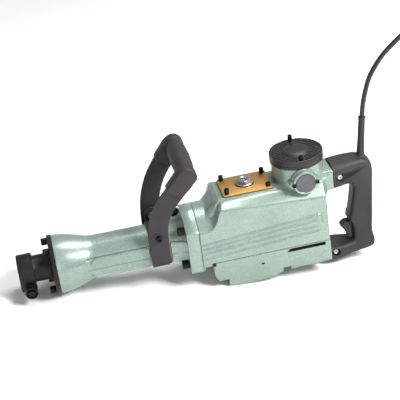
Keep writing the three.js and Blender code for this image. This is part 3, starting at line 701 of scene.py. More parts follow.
@dataclass
class Studio:
    """A pale floor under large soft lights, and the camera."""

    camera_at: Point = (-0.37037, -2.10073, 1.27913)
    camera_turn: Point = (62.2861689, 1.2602206, -10.7751236)  # degrees about X, Y, Z
    lens: float = 117.0
    sensor: float = 36.0
    floor_half: float = 6.0
    floor_tones: tuple[Colour, Colour] = ((0.93, 0.91, 0.905), (0.95, 0.935, 0.93))
    sky_colour: Colour = (0.98, 0.99, 1.0)
    sky_strength: float = 0.42
    lamps: tuple[Lamp, ...] = (
        Lamp("key", (1.3, -1.2, 1.8), (0.05, 0.0, 0.1), 0.8, 84.0, (1.0, 0.99, 0.975)),
        Lamp("side", (-0.4, -2.4, 0.8), (0.0, 0.0, 0.1), 1.1, 8.0, (0.97, 0.98, 1.0)),
        Lamp("top", (0.5, 0.5, 2.3), (0.1, 0.0, 0.1), 1.1, 34.0, (1.0, 0.99, 0.98)),
    )

    def build(self) -> None:
        """Sets the camera, the floor, the sky and the lights."""
        bpy.context.scene.view_settings.view_transform = "Standard"
        self.camera()
        self.floor()
        self.sky()
        for lamp in self.lamps:
            self.light(lamp)

    def camera(self) -> None:
        """Stands the camera where it looks at the tool."""
        data = bpy.data.cameras.new("camera")
        data.lens, data.sensor_width = self.lens, self.sensor
        data.clip_end = 50.0
        view = linked("camera", data)
        view.location = self.camera_at
        view.rotation_euler = Euler([math.radians(turn) for turn in self.camera_turn])
        bpy.context.scene.camera = view

    def floor(self) -> None:
        """Lays a plain pale floor at z = 0."""
        half = self.floor_half
        mesh = bpy.data.meshes.new("floor")
        corners = [(-half, -half, 0), (half, -half, 0), (half, half, 0), (-half, half, 0)]
        mesh.from_pydata(corners, [], [(0, 1, 2, 3)])
        nodes = Nodes("pale_floor")
        tones = list(enumerate(self.floor_tones))
        nodes.put(nodes.shader, "Base Color", nodes.colours(nodes.noise(3.0), tones))
        nodes.put(nodes.shader, "Roughness", 0.75)
        nodes.put(nodes.shader, "Specular IOR Level", 0.15)
        mesh.materials.append(nodes.material)
        linked("floor", mesh)

    def sky(self) -> None:
        """Lights everything softly from a nearly white sky."""
        world = bpy.data.worlds.new("sky")
        world.use_nodes = True
        sky = world.node_tree.nodes["Background"]
        sky.inputs["Color"].default_value = (*self.sky_colour, 1.0)
        sky.inputs["Strength"].default_value = self.sky_strength
        bpy.context.scene.world = world

    def light(self, lamp: Lamp) -> None:
        """Hangs one lamp so that it faces its aim.

        Args:
            lamp: The lamp.
        """
        data = bpy.data.lights.new(lamp.name, "AREA")
        data.size, data.energy, data.color = lamp.size, lamp.power, lamp.colour
        hung = linked(lamp.name, data)
        away = np.array(lamp.at) - np.array(lamp.aim)
        flat = math.hypot(away[0], away[1])
        hung.rotation_euler = Euler((math.atan2(flat, away[2]), 0.0, math.atan2(away[0], -away[1])))
        hung.location = lamp.at


# Screws


@dataclass(frozen=True)
class CapScrew:
    """A socket-head cap screw: knurled head, hexagon recess and plain shank, with an optional spring washer."""

    radius: float
    tall: float
    shank: float
    long: float
    washer: float = 0.0

    def grids(self) -> list[tuple[Array, Cap]]:
        """Works out the head with its shank, and the washer, along +Z with the seat at z = 0.

        Returns:
            Each grid with how its ends are closed.
        """
        lift, r, top = self.washer, self.radius, self.washer + self.tall
        sides = 48
        angle = np.arange(sides) * 2 * np.pi / sides
        knurl = 1 - 0.045 * (0.5 + 0.5 * np.cos(16 * angle))
        recess = r * 0.52
        socket = hexagon(angle, 2 * math.cos(math.pi / 6))
        plain = np.ones(sides)
        rows = [
            (0.0, -self.long, plain), (self.shank * 0.8, -self.long, plain),
            (self.shank, -self.long + 0.8, plain),
            (self.shank, lift, plain), (r * 0.94, lift, plain), (r, lift + 0.4, knurl), (r, top - 1.1, knurl),
            (r * 0.97, top - 0.4, plain), (r * 0.90, top, plain), (recess * 1.16, top, plain),
            (recess * 1.04, top - 0.5, socket), (recess, top - 0.8, socket),
            (recess, top - self.tall * 0.55, socket), (0.0, top - self.tall * 0.65, plain),
        ]
        across = np.stack([rays(angle) * (radius * wave)[:, None] for radius, _, wave in rows])
        along = np.array([place for _, place, _ in rows])
        found = [(stood(across, along[:, None], Axis.Z), Cap.POLE)]
        if lift:
            bore, rim = self.shank + 0.1, r * 0.98
            ring = [(bore, 0.05), (rim, 0.05), (rim, lift - 0.05), (bore, lift - 0.05)]
            found.append((turned(ring, Axis.Z, sides=36), Cap.RING))
        return found

    def put(self, skin: Skin, at: Point, facing: str) -> None:
        """Adds the screw to a skin.

        Args:
            skin: The skin.
            at: Where the seat is.
            facing: Which way the head looks, such as "-x".
        """
        turn = {
            "-x": ((0, 0, -1), (0, 1, 0), (1, 0, 0)),
            "+y": ((1, 0, 0), (0, 0, 1), (0, -1, 0)),
            "-y": ((1, 0, 0), (0, 0, -1), (0, 1, 0)),
            "+z": ((1, 0, 0), (0, 1, 0), (0, 0, 1)),
            "-z": ((1, 0, 0), (0, -1, 0), (0, 0, -1)),
        }[facing]
        for grid, cap in self.grids():
            skin.add(grid @ np.array(turn, float).T + np.array(at), cap)


def screws(name: str, screw: CapScrew, places: list[Point], facing: str, body: str,
           finish: Finish, *nodes: str) -> None:
    """Makes one piece of several like screws.

    Args:
        name: The piece's name.
        screw: The screw.
        places: Where each one's seat is.
        facing: Which way the heads look.
        body: The body that they ride on.
        finish: What they are dressed in.
        nodes: The CAD nodes that they stand for.
    """
    skin = Skin()
    for place in places:
        screw.put(skin, place, facing)
    settle(skin.made(name, finish, 30.0), body, finish, *nodes)


# Sub-assemblies

BODY = "machine"


def numbered(name: str) -> list[str]:
    """The names of four like nodes."""
    return [f"{name}_{i + 1}" for i in range(4)]


def square(x: float, y: float, z: float) -> list[Point]:
    """The four places at x that stand at plus and minus y and z."""
    return [(x, u, v) for u in (-y, y) for v in (-z, z)]


def hexagon(angle: Array, flats: float) -> Array:
    """The reach of a hexagon of that width across its flats: half of it over the cosine to the nearest flat."""
    turn = (angle + np.pi / 6) % (np.pi / 3) - np.pi / 6
    return flats / 2 / np.cos(turn)


def round_angles(reach: Array, count: int) -> Array:
    """Angles whose points lie evenly along a section.

    Args:
        reach: The section's reach at 2880 even angles.
        count: How many angles to return.

    Returns:
        The angles.
    """
    angle = np.linspace(0, 2 * np.pi, len(reach), endpoint=False)
    points = rays(angle) * reach[:, None]
    step = np.linalg.norm(np.roll(points, -1, axis=0) - points, axis=1)
    along = np.concatenate([[0], np.cumsum(step)])
    return np.interp(np.arange(count) * along[-1] / count, along, np.append(angle, 2 * np.pi))


FINE = np.linspace(0, 2 * np.pi, 2880, endpoint=False)


@dataclass
class Nose:
    """The chisel socket with its flange, its four screws and the retainer."""

    front: float = -543.0
    ring_back: float = -514.4
    ring: float = 31.0
    low_ring: Span = (32.0, -9.0)  # radius and height of the lobe that holds the retainer
    neck: float = 25.0
    flange_front: float = -480.5
    flange_back: float = -472.6
    flange: float = 56.5
    flats: float = 30.4
    bolt: CapScrew = CapScrew(6.75, 11.0, 4.0, 24.0)
    bolt_at: Span = (20.5, 40.4)
    retainer: Span = (-525.5, -23.0)

    def build(self) -> None:
        """Makes the cover, its screws and the knob."""
        self.cover()
        places = square(self.flange_front - GAP, *self.bolt_at)
        screws("front_cover_bolts", self.bolt, places, "-x", BODY, SCREW, *numbered("front_cover_bolt"))
        self.knob()

    def cover(self) -> None:
        """The cover is one reach about X, over the ring, neck and flange and back through the hexagon."""
        angle = np.linspace(0, 2 * np.pi, 144, endpoint=False)
        radius, drop = self.low_ring
        lobe = drop * np.sin(angle) + np.sqrt(radius**2 - (drop * np.cos(angle)) ** 2)
        ring = blended(np.full_like(angle, self.ring), lobe, 3.0)
        socket = hexagon(angle, self.flats)
        plain = np.ones_like(angle)
        neck, flange, front, back = self.neck, self.flange, self.flange_front, self.flange_back
        rows = [
            (self.front, ring - 1.6), (self.front + 0.5, ring - 0.5), (self.front + 1.6, ring),
            (-530.0, ring), (-529.6, ring - 0.35), (-529.0, ring - 0.35), (-528.6, ring),
            (self.ring_back - 1.4, ring), (self.ring_back, ring - 1.2), (self.ring_back, plain * (neck + 0.8)),
            (self.ring_back + 1.5, plain * neck), (-496.0, plain * neck), (-490.0, plain * (neck + 0.6)),
            (-485.5, plain * (neck + 2.4)), (-482.4, plain * (neck + 5.0)), (front, plain * (neck + 9.0)),
            (front, plain * (flange - 1.0)), (front + 0.3, plain * (flange - 0.3)),
            (front + 1.0, plain * flange), (back - 1.0, plain * flange), (back, plain * (flange - 1.0)), (back, socket),
            (self.front + 1.5, socket), (self.front, socket + 1.4),
        ]
        x = np.array([place for place, _ in rows])
        reach = np.stack([outline for _, outline in rows])
        skin = Skin().add(about(Axis.X, x, angle, reach), Cap.RING)
        settle(skin.made("nose_cover", STEEL), BODY, STEEL, "front_cover")

    def knob(self) -> None:
        """The knob is turned about Y, hollow for its pin, with flutes round its rim."""
        profile = [(6.3, -46.6), (8.4, -47.2), (9.6, -49.6), (10.6, -50.0), (11.4, -49.6), (11.9, -48.4),
                   (11.9, -45.0), (11.5, -44.4), (11.5, -40.4), (11.9, -39.8), (11.9, -36.0), (11.2, -34.6),
                   (9.8, -34.0), (6.3, -34.0)]
        skin = Skin().add(turned(profile, Axis.Y, self.retainer, 96, flutes=24, depth=0.035), Cap.RING)
        settle(skin.made("retainer_grip", SCREW), "retainer_knob", SCREW, "retainer_knob")


@dataclass
class Barrel:
    """The cylinder case: a flared mouth, a waist with flat ribbed pads, and the rear flange with its screws."""

    front: float = -472.3
    flange_front: float = -230.0
    rear: float = -206.3
    profile: tuple[Span, ...] = (
        (-472.3, 55.6), (-464.0, 55.2), (-454.0, 53.9), (-444.0, 51.8), (-434.0, 49.3), (-424.0, 46.4),
        (-416.0, 43.9), (-409.0, 41.8), (-402.0, 40.6), (-395.0, 40.3), (-262.0, 40.3), (-250.0, 41.6),
        (-232.0, 45.6),
    )
    half: float = 58.0
    crown: float = 64.0
    low: float = 47.0
    pad: float = 42.2
    pad_high: float = 18.5
    pad_low: float = 22.5
    pad_steps: tuple[float, ...] = (18.5, -3.4, -16.2)
    step_deep: float = 2.2
    step_tall: float = 3.4
    bores: Span = (22.5, 31.3)
    bore_step: float = -392.0
    bolt: CapScrew = CapScrew(8.0, 13.0, 5.0, 34.0)
    bolt_at: Span = (38.0, 36.0)

    def arch(self, angle: Array, half: float, low: float | Array) -> Array:
        """The reach of the flange's section: straight sides and base under an arched crown of five flats."""
        crown = [(facing, self.crown) for facing in (52, 68, 90, 112, 128)]
        return walled(angle, [(0, half), (180, half), (270, low), *crown], 55.0)

    def build(self) -> None:
        """Makes the case and its four screws."""
        angle = round_angles(self.arch(FINE, self.half, self.low)[0], 640)
        x = spaced((-471.4, -464, 5), (-464, -419, 24), (-419, -396, 24), (-396, -304, 24), (-304, -296, 9),
                   (-296, -262, 8), (-262, -256, 7), (-256, -237, 8), (-237, -230, 9))
        outer = self.waist(x, angle)
        flange = self.arch(angle, self.half, self.low)
        back = np.array([-230, -229.7, -229.0, -207.0, -206.5, -206.3])
        rims = np.array([1.0, 0.3, 0.0, 0.0, 0.25, 0.8])[:, None]
        inner, step = np.ones_like(angle)[None], self.bore_step
        small, wide = self.bores
        places = np.concatenate([[self.front], x, back, [self.rear, step, step, self.front]])
        reach = np.vstack([outer[:1] - 0.9, outer, flange - rims, inner * wide, inner * wide, inner * small,
                           inner * small])
        skin = Skin().add(about(Axis.X, places, angle, reach), Cap.RING)
        settle(skin.made("barrel_casting", CASTING), BODY, CASTING, "cylinder_case")
        places = square(self.flange_front - GAP, *self.bolt_at)
        screws("case_bolts", self.bolt, places, "-x", BODY, SCREW, *numbered("case_bolt"))

    def waist(self, x: Array, angle: Array) -> Array:
        """The turned profile and, blended with it, a box for the pads, each of three strips that lap downwards.

        Args:
            x: The rows' places.
            angle: The rays' angles.

        Returns:
            Reaches, by row and ray.
        """
        radius = np.interp(x, *np.array(self.profile).T)
        kernel = np.exp(-0.5 * (np.arange(-2, 3) / 1.2) ** 2)
        radius = np.convolve(np.pad(radius, 2, mode="edge"), kernel / kernel.sum(), "valid")
        radius = radius + 3.0 * ramp(x, -238, -229) ** 2
        start = ramp(x, -416, -398)
        high, low = 6 + (self.pad_high - 6) * start, 10 + (self.pad_low - 10) * start
        pads = walled(angle, [(0, self.pad), (180, self.pad), (90, high), (270, low)], 110.0)
        there = np.maximum(band(x, -417, -300, 0.8), ramp(x, -261, -259))[:, None]
        reach = blended(radius[:, None] * np.ones_like(angle), pads * there, 0.5)
        z = reach * np.sin(angle)
        sunk = np.maximum.reduce([np.clip(1 - (top - z) / self.step_tall, 0, 1) * (z <= top)
                                  for top in self.pad_steps])
        return reach - self.step_deep * sunk * there * (np.abs(np.cos(angle)) > 0.4)


@dataclass
class Housing:
    """The main casting: crank chamber under an inclined deck, motor tower, brush bosses and bracket."""

    front: float = -206.0
    rear: float = 37.0
    half: float = 60.0
    low: float = 33.3
    deck: float = 82.0
    deck_half: float = 41.0
    shoulder: Span = (74.5, 58.5)  # where the inclined side meets the upright one, at the front and at the rear
    ribs: tuple[Span, ...] = ((9.4, 25.0), (0.6, 15.0), (-8.2, 3.0), (-19.9, -7.5))  # front and rear heights
    rib_tall: float = 2.2
    rib_wide: float = 1.9
    # The top's height at each x, and the crest's, where the front slopes up to the deck.
    top_line: tuple[Span, ...] = ((-190, 34), (-179, 39), (-171, 52), (-164, 71), (-158, 80.5), (-152, 82))
    crest_line: tuple[Span, ...] = (
        (-191, 40), (-186, 56), (-180, 65), (-173, 73), (-166, 80), (-159, 84), (-153, 84.5), (-50, 84.5),
        (-48, 60),
    )
    tower: float = 48.5
    tower_top: float = 118.7
    brush_z: float = 95.7
    ear: float = 21.9
    bore: float = 31.3
    plate_x: Span = (-149.3, -55.2)
    plate_half: float = 35.0
    plate_bottom: float = 86.2
    plate_top: float = 89.0

    def build(self) -> None:
        """Makes the casting, and what is screwed to its top."""
        skin = Skin()
        self.chamber(skin)
        self.motor_tower(skin)
        self.bosses(skin)
        bracket = eased([(16, 56), (34, 56), (46, 53), (60.7, 53), (60.7, 93), (16, 93)], 3.0)
        skin.add(prism(bracket, Axis.Y, -29, 29, 3.0))
        settle(skin.made("housing_casting", CASTING), BODY, CASTING, "main_housing")
        self.oil_plate()

    def chamber(self, skin: Skin) -> None:
        """The chamber is one reach about X, from its hollow, out through the bore and back over the outside.

        Args:
            skin: The skin that it joins.
        """
        sides = [(0, self.half), (180, self.half), (270, self.low)]
        angle = round_angles(walled(FINE, [*sides, (51.7, 89.8), (128.3, 89.8), (90, self.deck)])[0], 560)
        x = spaced((-205.2, -202, 6), (-202, -192, 8), (-192, -186, 10), (-186, -150, 37), (-150, -52, 22),
                   (-52, -46, 7), (-46, 14, 12), (14, 26, 13), (26, 33, 4))
        top = np.interp(x, *np.array(self.top_line).T)
        drop, run = self.deck - np.interp(x, [-175, self.rear], self.shoulder), self.half - self.deck_half
        facing = np.degrees(np.arctan2(run, drop))
        away = (self.deck_half * drop + self.deck * run) / np.hypot(drop, run)
        main = walled(angle, [*sides, (facing, away), (180 - facing, away), (90, top)], 60.0)
        low = self.low + 7.0 * (1 - ramp(x, -190.2, -188.6)) + 6.7 * (1 - ramp(x, -204.2, -202.8))
        arch = Barrel().arch(angle, 57.6, low)
        rise = np.clip(np.sin(angle), 0, 1)
        reach = blended(main, arch, 1.0 + 10.0 * ramp(rise, 0.4, 0.62))
        crest = np.interp(x, *np.array(self.crest_line).T)
        soft = (7.0 + 33.0 * ramp(x, -172, -156))[:, None]
        bump = walled(angle, [(0, 37), (180, 37), (90, crest), (270, 30)], soft)
        reach = blended(reach, bump, 7.0 - 5.0 * ramp(x, -170, -156)[:, None])
        reach = reach + self.relief(x, reach, angle)
        turn = np.linspace(0, np.pi / 2, 6)[1:]
        rim = reach[-1:] - 4.0 * (1 - np.cos(turn))[:, None]
        hollow = np.minimum(reach - WALL, 56.0)[::-1]
        inside = (x[::-1] > -158) & (x[::-1] < 32) & (np.arange(len(x)) % 5 == 0)
        plain = np.ones((1, len(angle)))
        back, face = x[::-1][inside], np.array([32.0])
        places = np.concatenate([face, face, back, back[-1:], [self.front, self.front], x,
                                 self.rear - 4.0 * (1 - np.sin(turn)), [self.rear]])
        rows = np.vstack([plain * 0, hollow[inside][:1], hollow[inside], plain * self.bore, plain * self.bore,
                          reach[:1] - 0.8, reach, rim, plain * 0])
        skin.add(about(Axis.X, places, angle, rows), Cap.POLE)

    def relief(self, x: Array, reach: Array, angle: Array) -> Array:
        """Long low ribs along both sides, each a bell curve across, and a short upright nub at the rear.

        Args:
            x: The rows' places.
            reach: Reaches without the ribs.
            angle: The rays' angles.

        Returns:
            What they add to the reach.
        """
        y, z, x = reach * np.cos(angle), reach * np.sin(angle), x[:, None]
        side = ramp(np.abs(y), self.half - 4, self.half - 1.5)
        found = np.zeros_like(reach)
        for front, rear in self.ribs:
            level = front + (rear - front) * (x + 195) / 220
            rib = np.exp(-(((z - level) / self.rib_wide) ** 2)) * band(x, -202, 20, 2.0)
            found = found + self.rib_tall * rib
        nub = 1.8 * band(x, 24, 30, 1.5) * band(z, 8, 26, 3.0)
        return side * (found + nub)

    def motor_tower(self, skin: Skin) -> None:
        """The tower is one reach about Z: a cylinder with a fillet that follows the deck and its slopes.

        Args:
            skin: The skin that it joins.
        """
        angle = np.linspace(0, 2 * np.pi, 160, endpoint=False)
        z = spaced((50, 62, 3), (62, 92, 31), (92, 117.7, 6))[:, None]
        fillet = 6.0
        slope = 21 / 19  # the fall of the inclined side for each millimetre outwards
        across = np.abs(np.sin(angle))
        foot = self.deck - np.clip((self.tower + fillet) * across - self.deck_half, 0, None) * slope
        head = self.deck - np.clip(self.tower * across - self.deck_half, 0, None) * slope + fillet
        rise = np.clip((head - z) / (head - foot), 0, 1)
        reach = self.tower + fillet * (1 - np.sqrt(1 - rise**2))
        reach = np.vstack([reach, reach[-1:], reach[-1:] - 0.8])
        places = np.concatenate([z[:, 0], [self.tower_top - 0.7, self.tower_top]])
        skin.add(about(Axis.Z, places, angle, reach), Cap.FACE)

    def bosses(self, skin: Skin) -> None:
        """A ring boss and a pair of ears about Y on each side, for the brush caps.

        Args:
            skin: The skin that they join.
        """
        for side in (-1, 1):
            ring = eased([(0, 28), (24.4, 28), (24.4, 50), (22.5, 53), (22.5, 61.6), (19.6, 62.4), (18.2, 61.0),
                          (18.2, 60.4), (0, 60.4)], 0.7, closed=False)
            ring[[0, -1], 0] = 0
            skin.add(turned(ring * (1, side), Axis.Y, (0, self.brush_z), 72), Cap.POLE)
            ears = box_section((self.ear + 6.5, 6.6), 3.0, 72) + (0, self.brush_z)
            skin.add(prism(ears, Axis.Y, *sorted((side * 34.0, side * 59.6)), 1.0))

    def oil_plate(self) -> None:
        """The plated cover with eased corners, its screws on spring washers, and the plug."""
        (front, rear), half = self.plate_x, self.plate_half
        outline = eased([(front, -half), (rear, -half), (rear, half), (front, half)], 4.5)
        skin = Skin().add(prism(outline, Axis.Z, self.plate_bottom, self.plate_top, 0.5, 2))
        settle(skin.made("oil_cover_plate", ZINC), BODY, ZINC, "oil_plate")
        tall, short = CapScrew(4.6, 7.6, 3.0, 15.0, 2.2), CapScrew(4.6, 6.2, 3.0, 15.0)
        top = self.plate_top + 0.1
        inset = 8.0
        ends, width = (front + inset, rear - inset), 27.5
        near = (ends[1], -width, top)
        corners = [(x, y, top) for y in (-width, width) for x in ends]
        skin = Skin()
        for place in corners:
            (short if place == near else tall).put(skin, place, "+z")
        settle(skin.made("oil_plate_bolts", SCREW), BODY, SCREW, *numbered("oil_plate_bolt"))
        self.plug((front + rear) / 2)

    def plug(self, x: float) -> None:
        """The oil plug: a flange, a chamfered hexagon and a hexagon recess, on a near-black sealing ring that is partly
        painted shade under the plug.

        Args:
            x: Its place on the plate.
        """
        angle = np.linspace(0, 2 * np.pi, 144, endpoint=False)
        plain, top = np.ones_like(angle), self.plate_top
        outer, inner = hexagon(angle, 25.0), hexagon(angle, 11.4)
        rows = [
            (80.0, plain * 0), (80.0, plain * 9), (top + 0.5, plain * 9), (top + 0.5, plain * 16.6),
            (top + 0.9, plain * 17), (top + 2.4, plain * 17), (top + 3.0, plain * 16.2),
            (top + 3.2, np.minimum(outer, 15.0)), (top + 8.6, outer), (top + 9.4, np.minimum(outer, 13.4)),
            (top + 10.0, np.minimum(outer, 12.4)), (top + 10.0, plain * 8.4), (top + 9.3, plain * 7.4),
            (top + 8.9, inner), (top + 4.0, inner), (top + 3.2, plain * 0),
        ]
        reach = np.stack([outline for _, outline in rows])
        places = np.array([place for place, _ in rows])
        skin = Skin().add(about(Axis.Z, places, angle, reach, (x, 0)), Cap.POLE)
        # Painted shadow: this ring takes the near-black SHADOW finish, standing for a sealing ring and for the shade
        # beneath the plug's flange.
        seal_and_shade = [(9.4, top), (18.2, top), (18.2, top + 0.45), (9.4, top + 0.45)]
        skin.add(turned(seal_and_shade, Axis.Z, (x, 0), 72), Cap.RING, finish=1)
        settle(skin.made("oil_filler_plug", [BRIGHT, SHADOW]), BODY, BRIGHT, "oil_plug")


@dataclass
class GearCover:
    """The gear cover under the housing, with its side vents and screw pockets."""

    front: float = -188.0
    rear: float = Housing.rear
    half: float = Housing.half
    top: float = -33.6
    middle: float = -55.0
    lowest: tuple[Span, ...] = (
        (-188, -62), (-184, -70), (-179, -78), (-170, -84.6), (-161, -89.6), (-146, -92.9), (-130, -93.5),
        (-98, -93.5), (-80, -91), (-64, -86), (-52, -82.3), (-30, -81.4), (30, -80), (37, -78.5),
    )
    front_lid: Span = (-183.0, -40.0)  # the top edge is lower in front of this x
    vent: tuple[float, float, float, float] = (-47.0, 27.0, -41.6, -35.4)  # front, rear, sill and top
    vent_deep: float = 6.0
    mark: Span = (-95.0, -54.0)
    screws_at: tuple[Span, ...] = ((-170.0, 44.0), (-50.0, 48.0))
    screw: CapScrew = CapScrew(5.0, 6.0, 3.0, 32.0)
    pocket: float = 7.6
    pocket_roof: float = -73.0
    wall: float = 4.0

    def build(self) -> None:
        """The cover is one reach about X: rounded walls, less the pockets and vents, round a hollow."""
        walls = [(0, self.half), (180, self.half)]
        angle = round_angles(walled(FINE, [*walls, (270, 37), (90, 21.4)])[0], 420)
        x = spaced((-187, -183, 5), (-183, -178, 6), (-178, -161, 26), (-161, -130, 8), (-130, -99, 6),
                   (-99, -91, 12), (-91, -60, 9), (-60, -38, 34), (-38, 24, 20), (24, 29, 11), (29, 36, 6))
        depth = self.middle - np.interp(x, *np.array(self.lowest).T)
        reach = walled(angle, [*walls, (270, depth)], 13.0)
        sine, cosine = np.sin(angle), np.maximum(np.abs(np.cos(angle)), 1e-6)
        lid = np.where(x < self.front_lid[0], self.front_lid[1], self.top) - self.middle
        reach = np.minimum(reach, lid[:, None] / np.maximum(sine, 1e-6))
        for place, y in self.screws_at:
            chord = np.sqrt(np.clip(self.pocket**2 - (x - place) ** 2, 0, None))[:, None]
            roof = (self.middle - self.pocket_roof) / np.maximum(-sine, 1e-6)
            wall = np.where(chord > 0, (y - chord) / cosine, 1e6)
            reach = np.minimum(reach, np.maximum(roof, wall))
        z = self.middle + reach * sine
        start, end, sill, top = self.vent
        along = x[:, None]
        vent = (along > start + (z - sill)) & (along < end) & (z > sill) & (z < top)
        mark = (np.abs(along - self.mark[0]) < 2.8) & (np.abs(z - self.mark[1]) < 1.3)
        floor = self.half - self.vent_deep
        deep = (vent | mark) & (reach * cosine > floor)
        reach = np.where(deep, floor / cosine, reach)
        skin = Skin()
        places = np.concatenate([[self.front], x, [self.rear]])
        rows = np.vstack([reach[:1] - 1.5, reach, reach[-1:] - 1.0])
        # Painted shade: faces in the vents and the mark, and along their edges, take the near-black SHADOW finish for
        # the shade inside those recesses.
        dark = np.zeros((len(places) - 1, len(angle)), int)
        edge = deep | np.roll(deep, -1, axis=1)
        dark[1:-1] = edge[:-1] | edge[1:]
        at = (0.0, self.middle)
        skin.add(about(Axis.X, places, angle, rows, at), Cap.FACE, finish=dark.reshape(-1))
        sparse = np.flatnonzero((x > -182) & (x < 32))[::4]
        skin.add(about(Axis.X, x[sparse], angle, reach[sparse] - self.wall, at), Cap.FACE, inside=True)
        settle(skin.made("gear_cover_casting", [CASTING, SHADOW]), BODY, CASTING, "gear_cover")
        places = [(px, side * y, self.pocket_roof - GAP) for px, y in self.screws_at for side in (1, -1)]
        screws("gear_cover_screws", self.screw, places, "-z", BODY, SCREW, *numbered("gear_cover_screw"))


@dataclass
class MotorTop:
    """The louvred motor cap with its screws, and the two brush caps."""

    radius: float = 50.2
    bottom: float = 119.0
    top: float = 135.3
    ring: Span = (27.0, 46.6)
    pitch: float = 6.6
    dash: float = 8.4
    deep: float = 3.4
    brush_z: float = Housing.brush_z
    ear: float = Housing.ear

    def build(self) -> None:
        """Makes the cap, its two screws, and both brush caps with theirs."""
        self.cap()
        screw = CapScrew(4.3, 7.6, 3.0, 14.0, 1.6)
        skin = Skin()
        screw.put(skin, (0.0, 40.0, self.top + 3.0), "+z")
        screw.put(skin, (0.0, -40.0, self.top - 2.6), "+z")
        settle(skin.made("motor_cap_screws", SCREW), BODY, SCREW, "motor_cap_screw_1", "motor_cap_screw_2")
        for name, side, facing in (("near", -1, "-y"), ("far", 1, "+y")):
            self.brush_cap(name, side)
            places = [(x, side * 62.3, self.brush_z) for x in (-self.ear, self.ear)]
            screws(f"brush_screws_{name}", CapScrew(3.6, 3.6, 2.0, 9.0), places, facing, BODY, SCREW)

    def cap(self) -> None:
        """The cap is turned about Z, and its top is sunk in short dashes, staggered row by row."""
        low, high = self.ring
        annulus = np.linspace(47.6, low - 0.6, 46)
        edge = self.radius
        rim = [(0.0, self.bottom), (edge - 0.4, self.bottom), (edge, self.bottom + 0.5), (edge, 124.6),
               (edge - 0.4, 125.0), (edge - 0.4, 125.6), (edge, 126.0), (edge, self.top - 1.6),
               (edge - 0.5, self.top - 0.5), (edge - 1.4, self.top), (edge - 2.0, self.top - 0.1)]
        dome = [(25.6, 134.9), (24.6, 136.2), (22.0, 137.4), (17.0, 138.6), (11.0, 139.3), (5.0, 139.6),
                (0.0, 139.65)]
        profile = np.array([*rim, *[(r, self.top - 0.7) for r in annulus], *dome])
        grid = turned(profile, Axis.Z, sides=480)
        x, y = grid[..., 0], grid[..., 1]
        row = np.floor(y / self.pitch)
        slit = band(y - row * self.pitch, 1.8, 4.9, 0.3)
        reach = (x + row % 2 * self.dash / 2) % self.dash
        radius = np.hypot(x, y)
        there = band(radius, low, high, 0.3) * (grid[..., 2] > self.bottom + 10) * (np.abs(x) > 8.5)
        sunk = slit * band(reach, 0.9, self.dash - 0.9, 0.3) * there
        grid[..., 2] -= self.deep * sunk
        # Painted shade: the sunk slits take the near-black SHADOW finish for the shade inside them.
        dark = (sunk > 0.5)[1:-1]
        dark = (dark[:-1] | dark[1:]).reshape(-1).astype(int)
        skin = Skin().add(grid, Cap.POLE, finish=dark)
        settle(skin.made("motor_cap_louvres", [CAP_PLASTIC, SHADOW]), BODY, CAP_PLASTIC, "motor_cap")

    def brush_cap(self, name: str, side: int) -> None:
        """A disc with a dimple about Y, on a bar whose two ends take the screws.

        Args:
            name: Which side it is on.
            side: -1 for the near side and 1 for the far one.
        """
        face = [(0, 60.5), (17.2, 60.5), (17.5, 61.0), (17.5, 62.6), (17.0, 63.0), (15.9, 63.0), (15.6, 62.7),
                (3.4, 62.7), (3.0, 62.2), (1.6, 61.9), (0, 61.9)]
        skin = Skin().add(turned(np.array(face) * (1, side), Axis.Y, (0, self.brush_z), 72), Cap.POLE)
        bar = box_section((self.ear + 4.6, 4.6), 2.6, 60) + (0, self.brush_z)
        skin.add(prism(bar, Axis.Y, *sorted((side * 60.0, side * 62.2)), 0.4))
        holder = [(0, 46), (12, 46), (12, 60.8), (0, 60.8)]
        skin.add(turned(np.array(holder) * (1, side), Axis.Y, (0, self.brush_z), 40), Cap.POLE)
        settle(skin.made(f"brush_cap_disc_{name}", GREY), BODY, GREY, f"brush_cap_{name}")


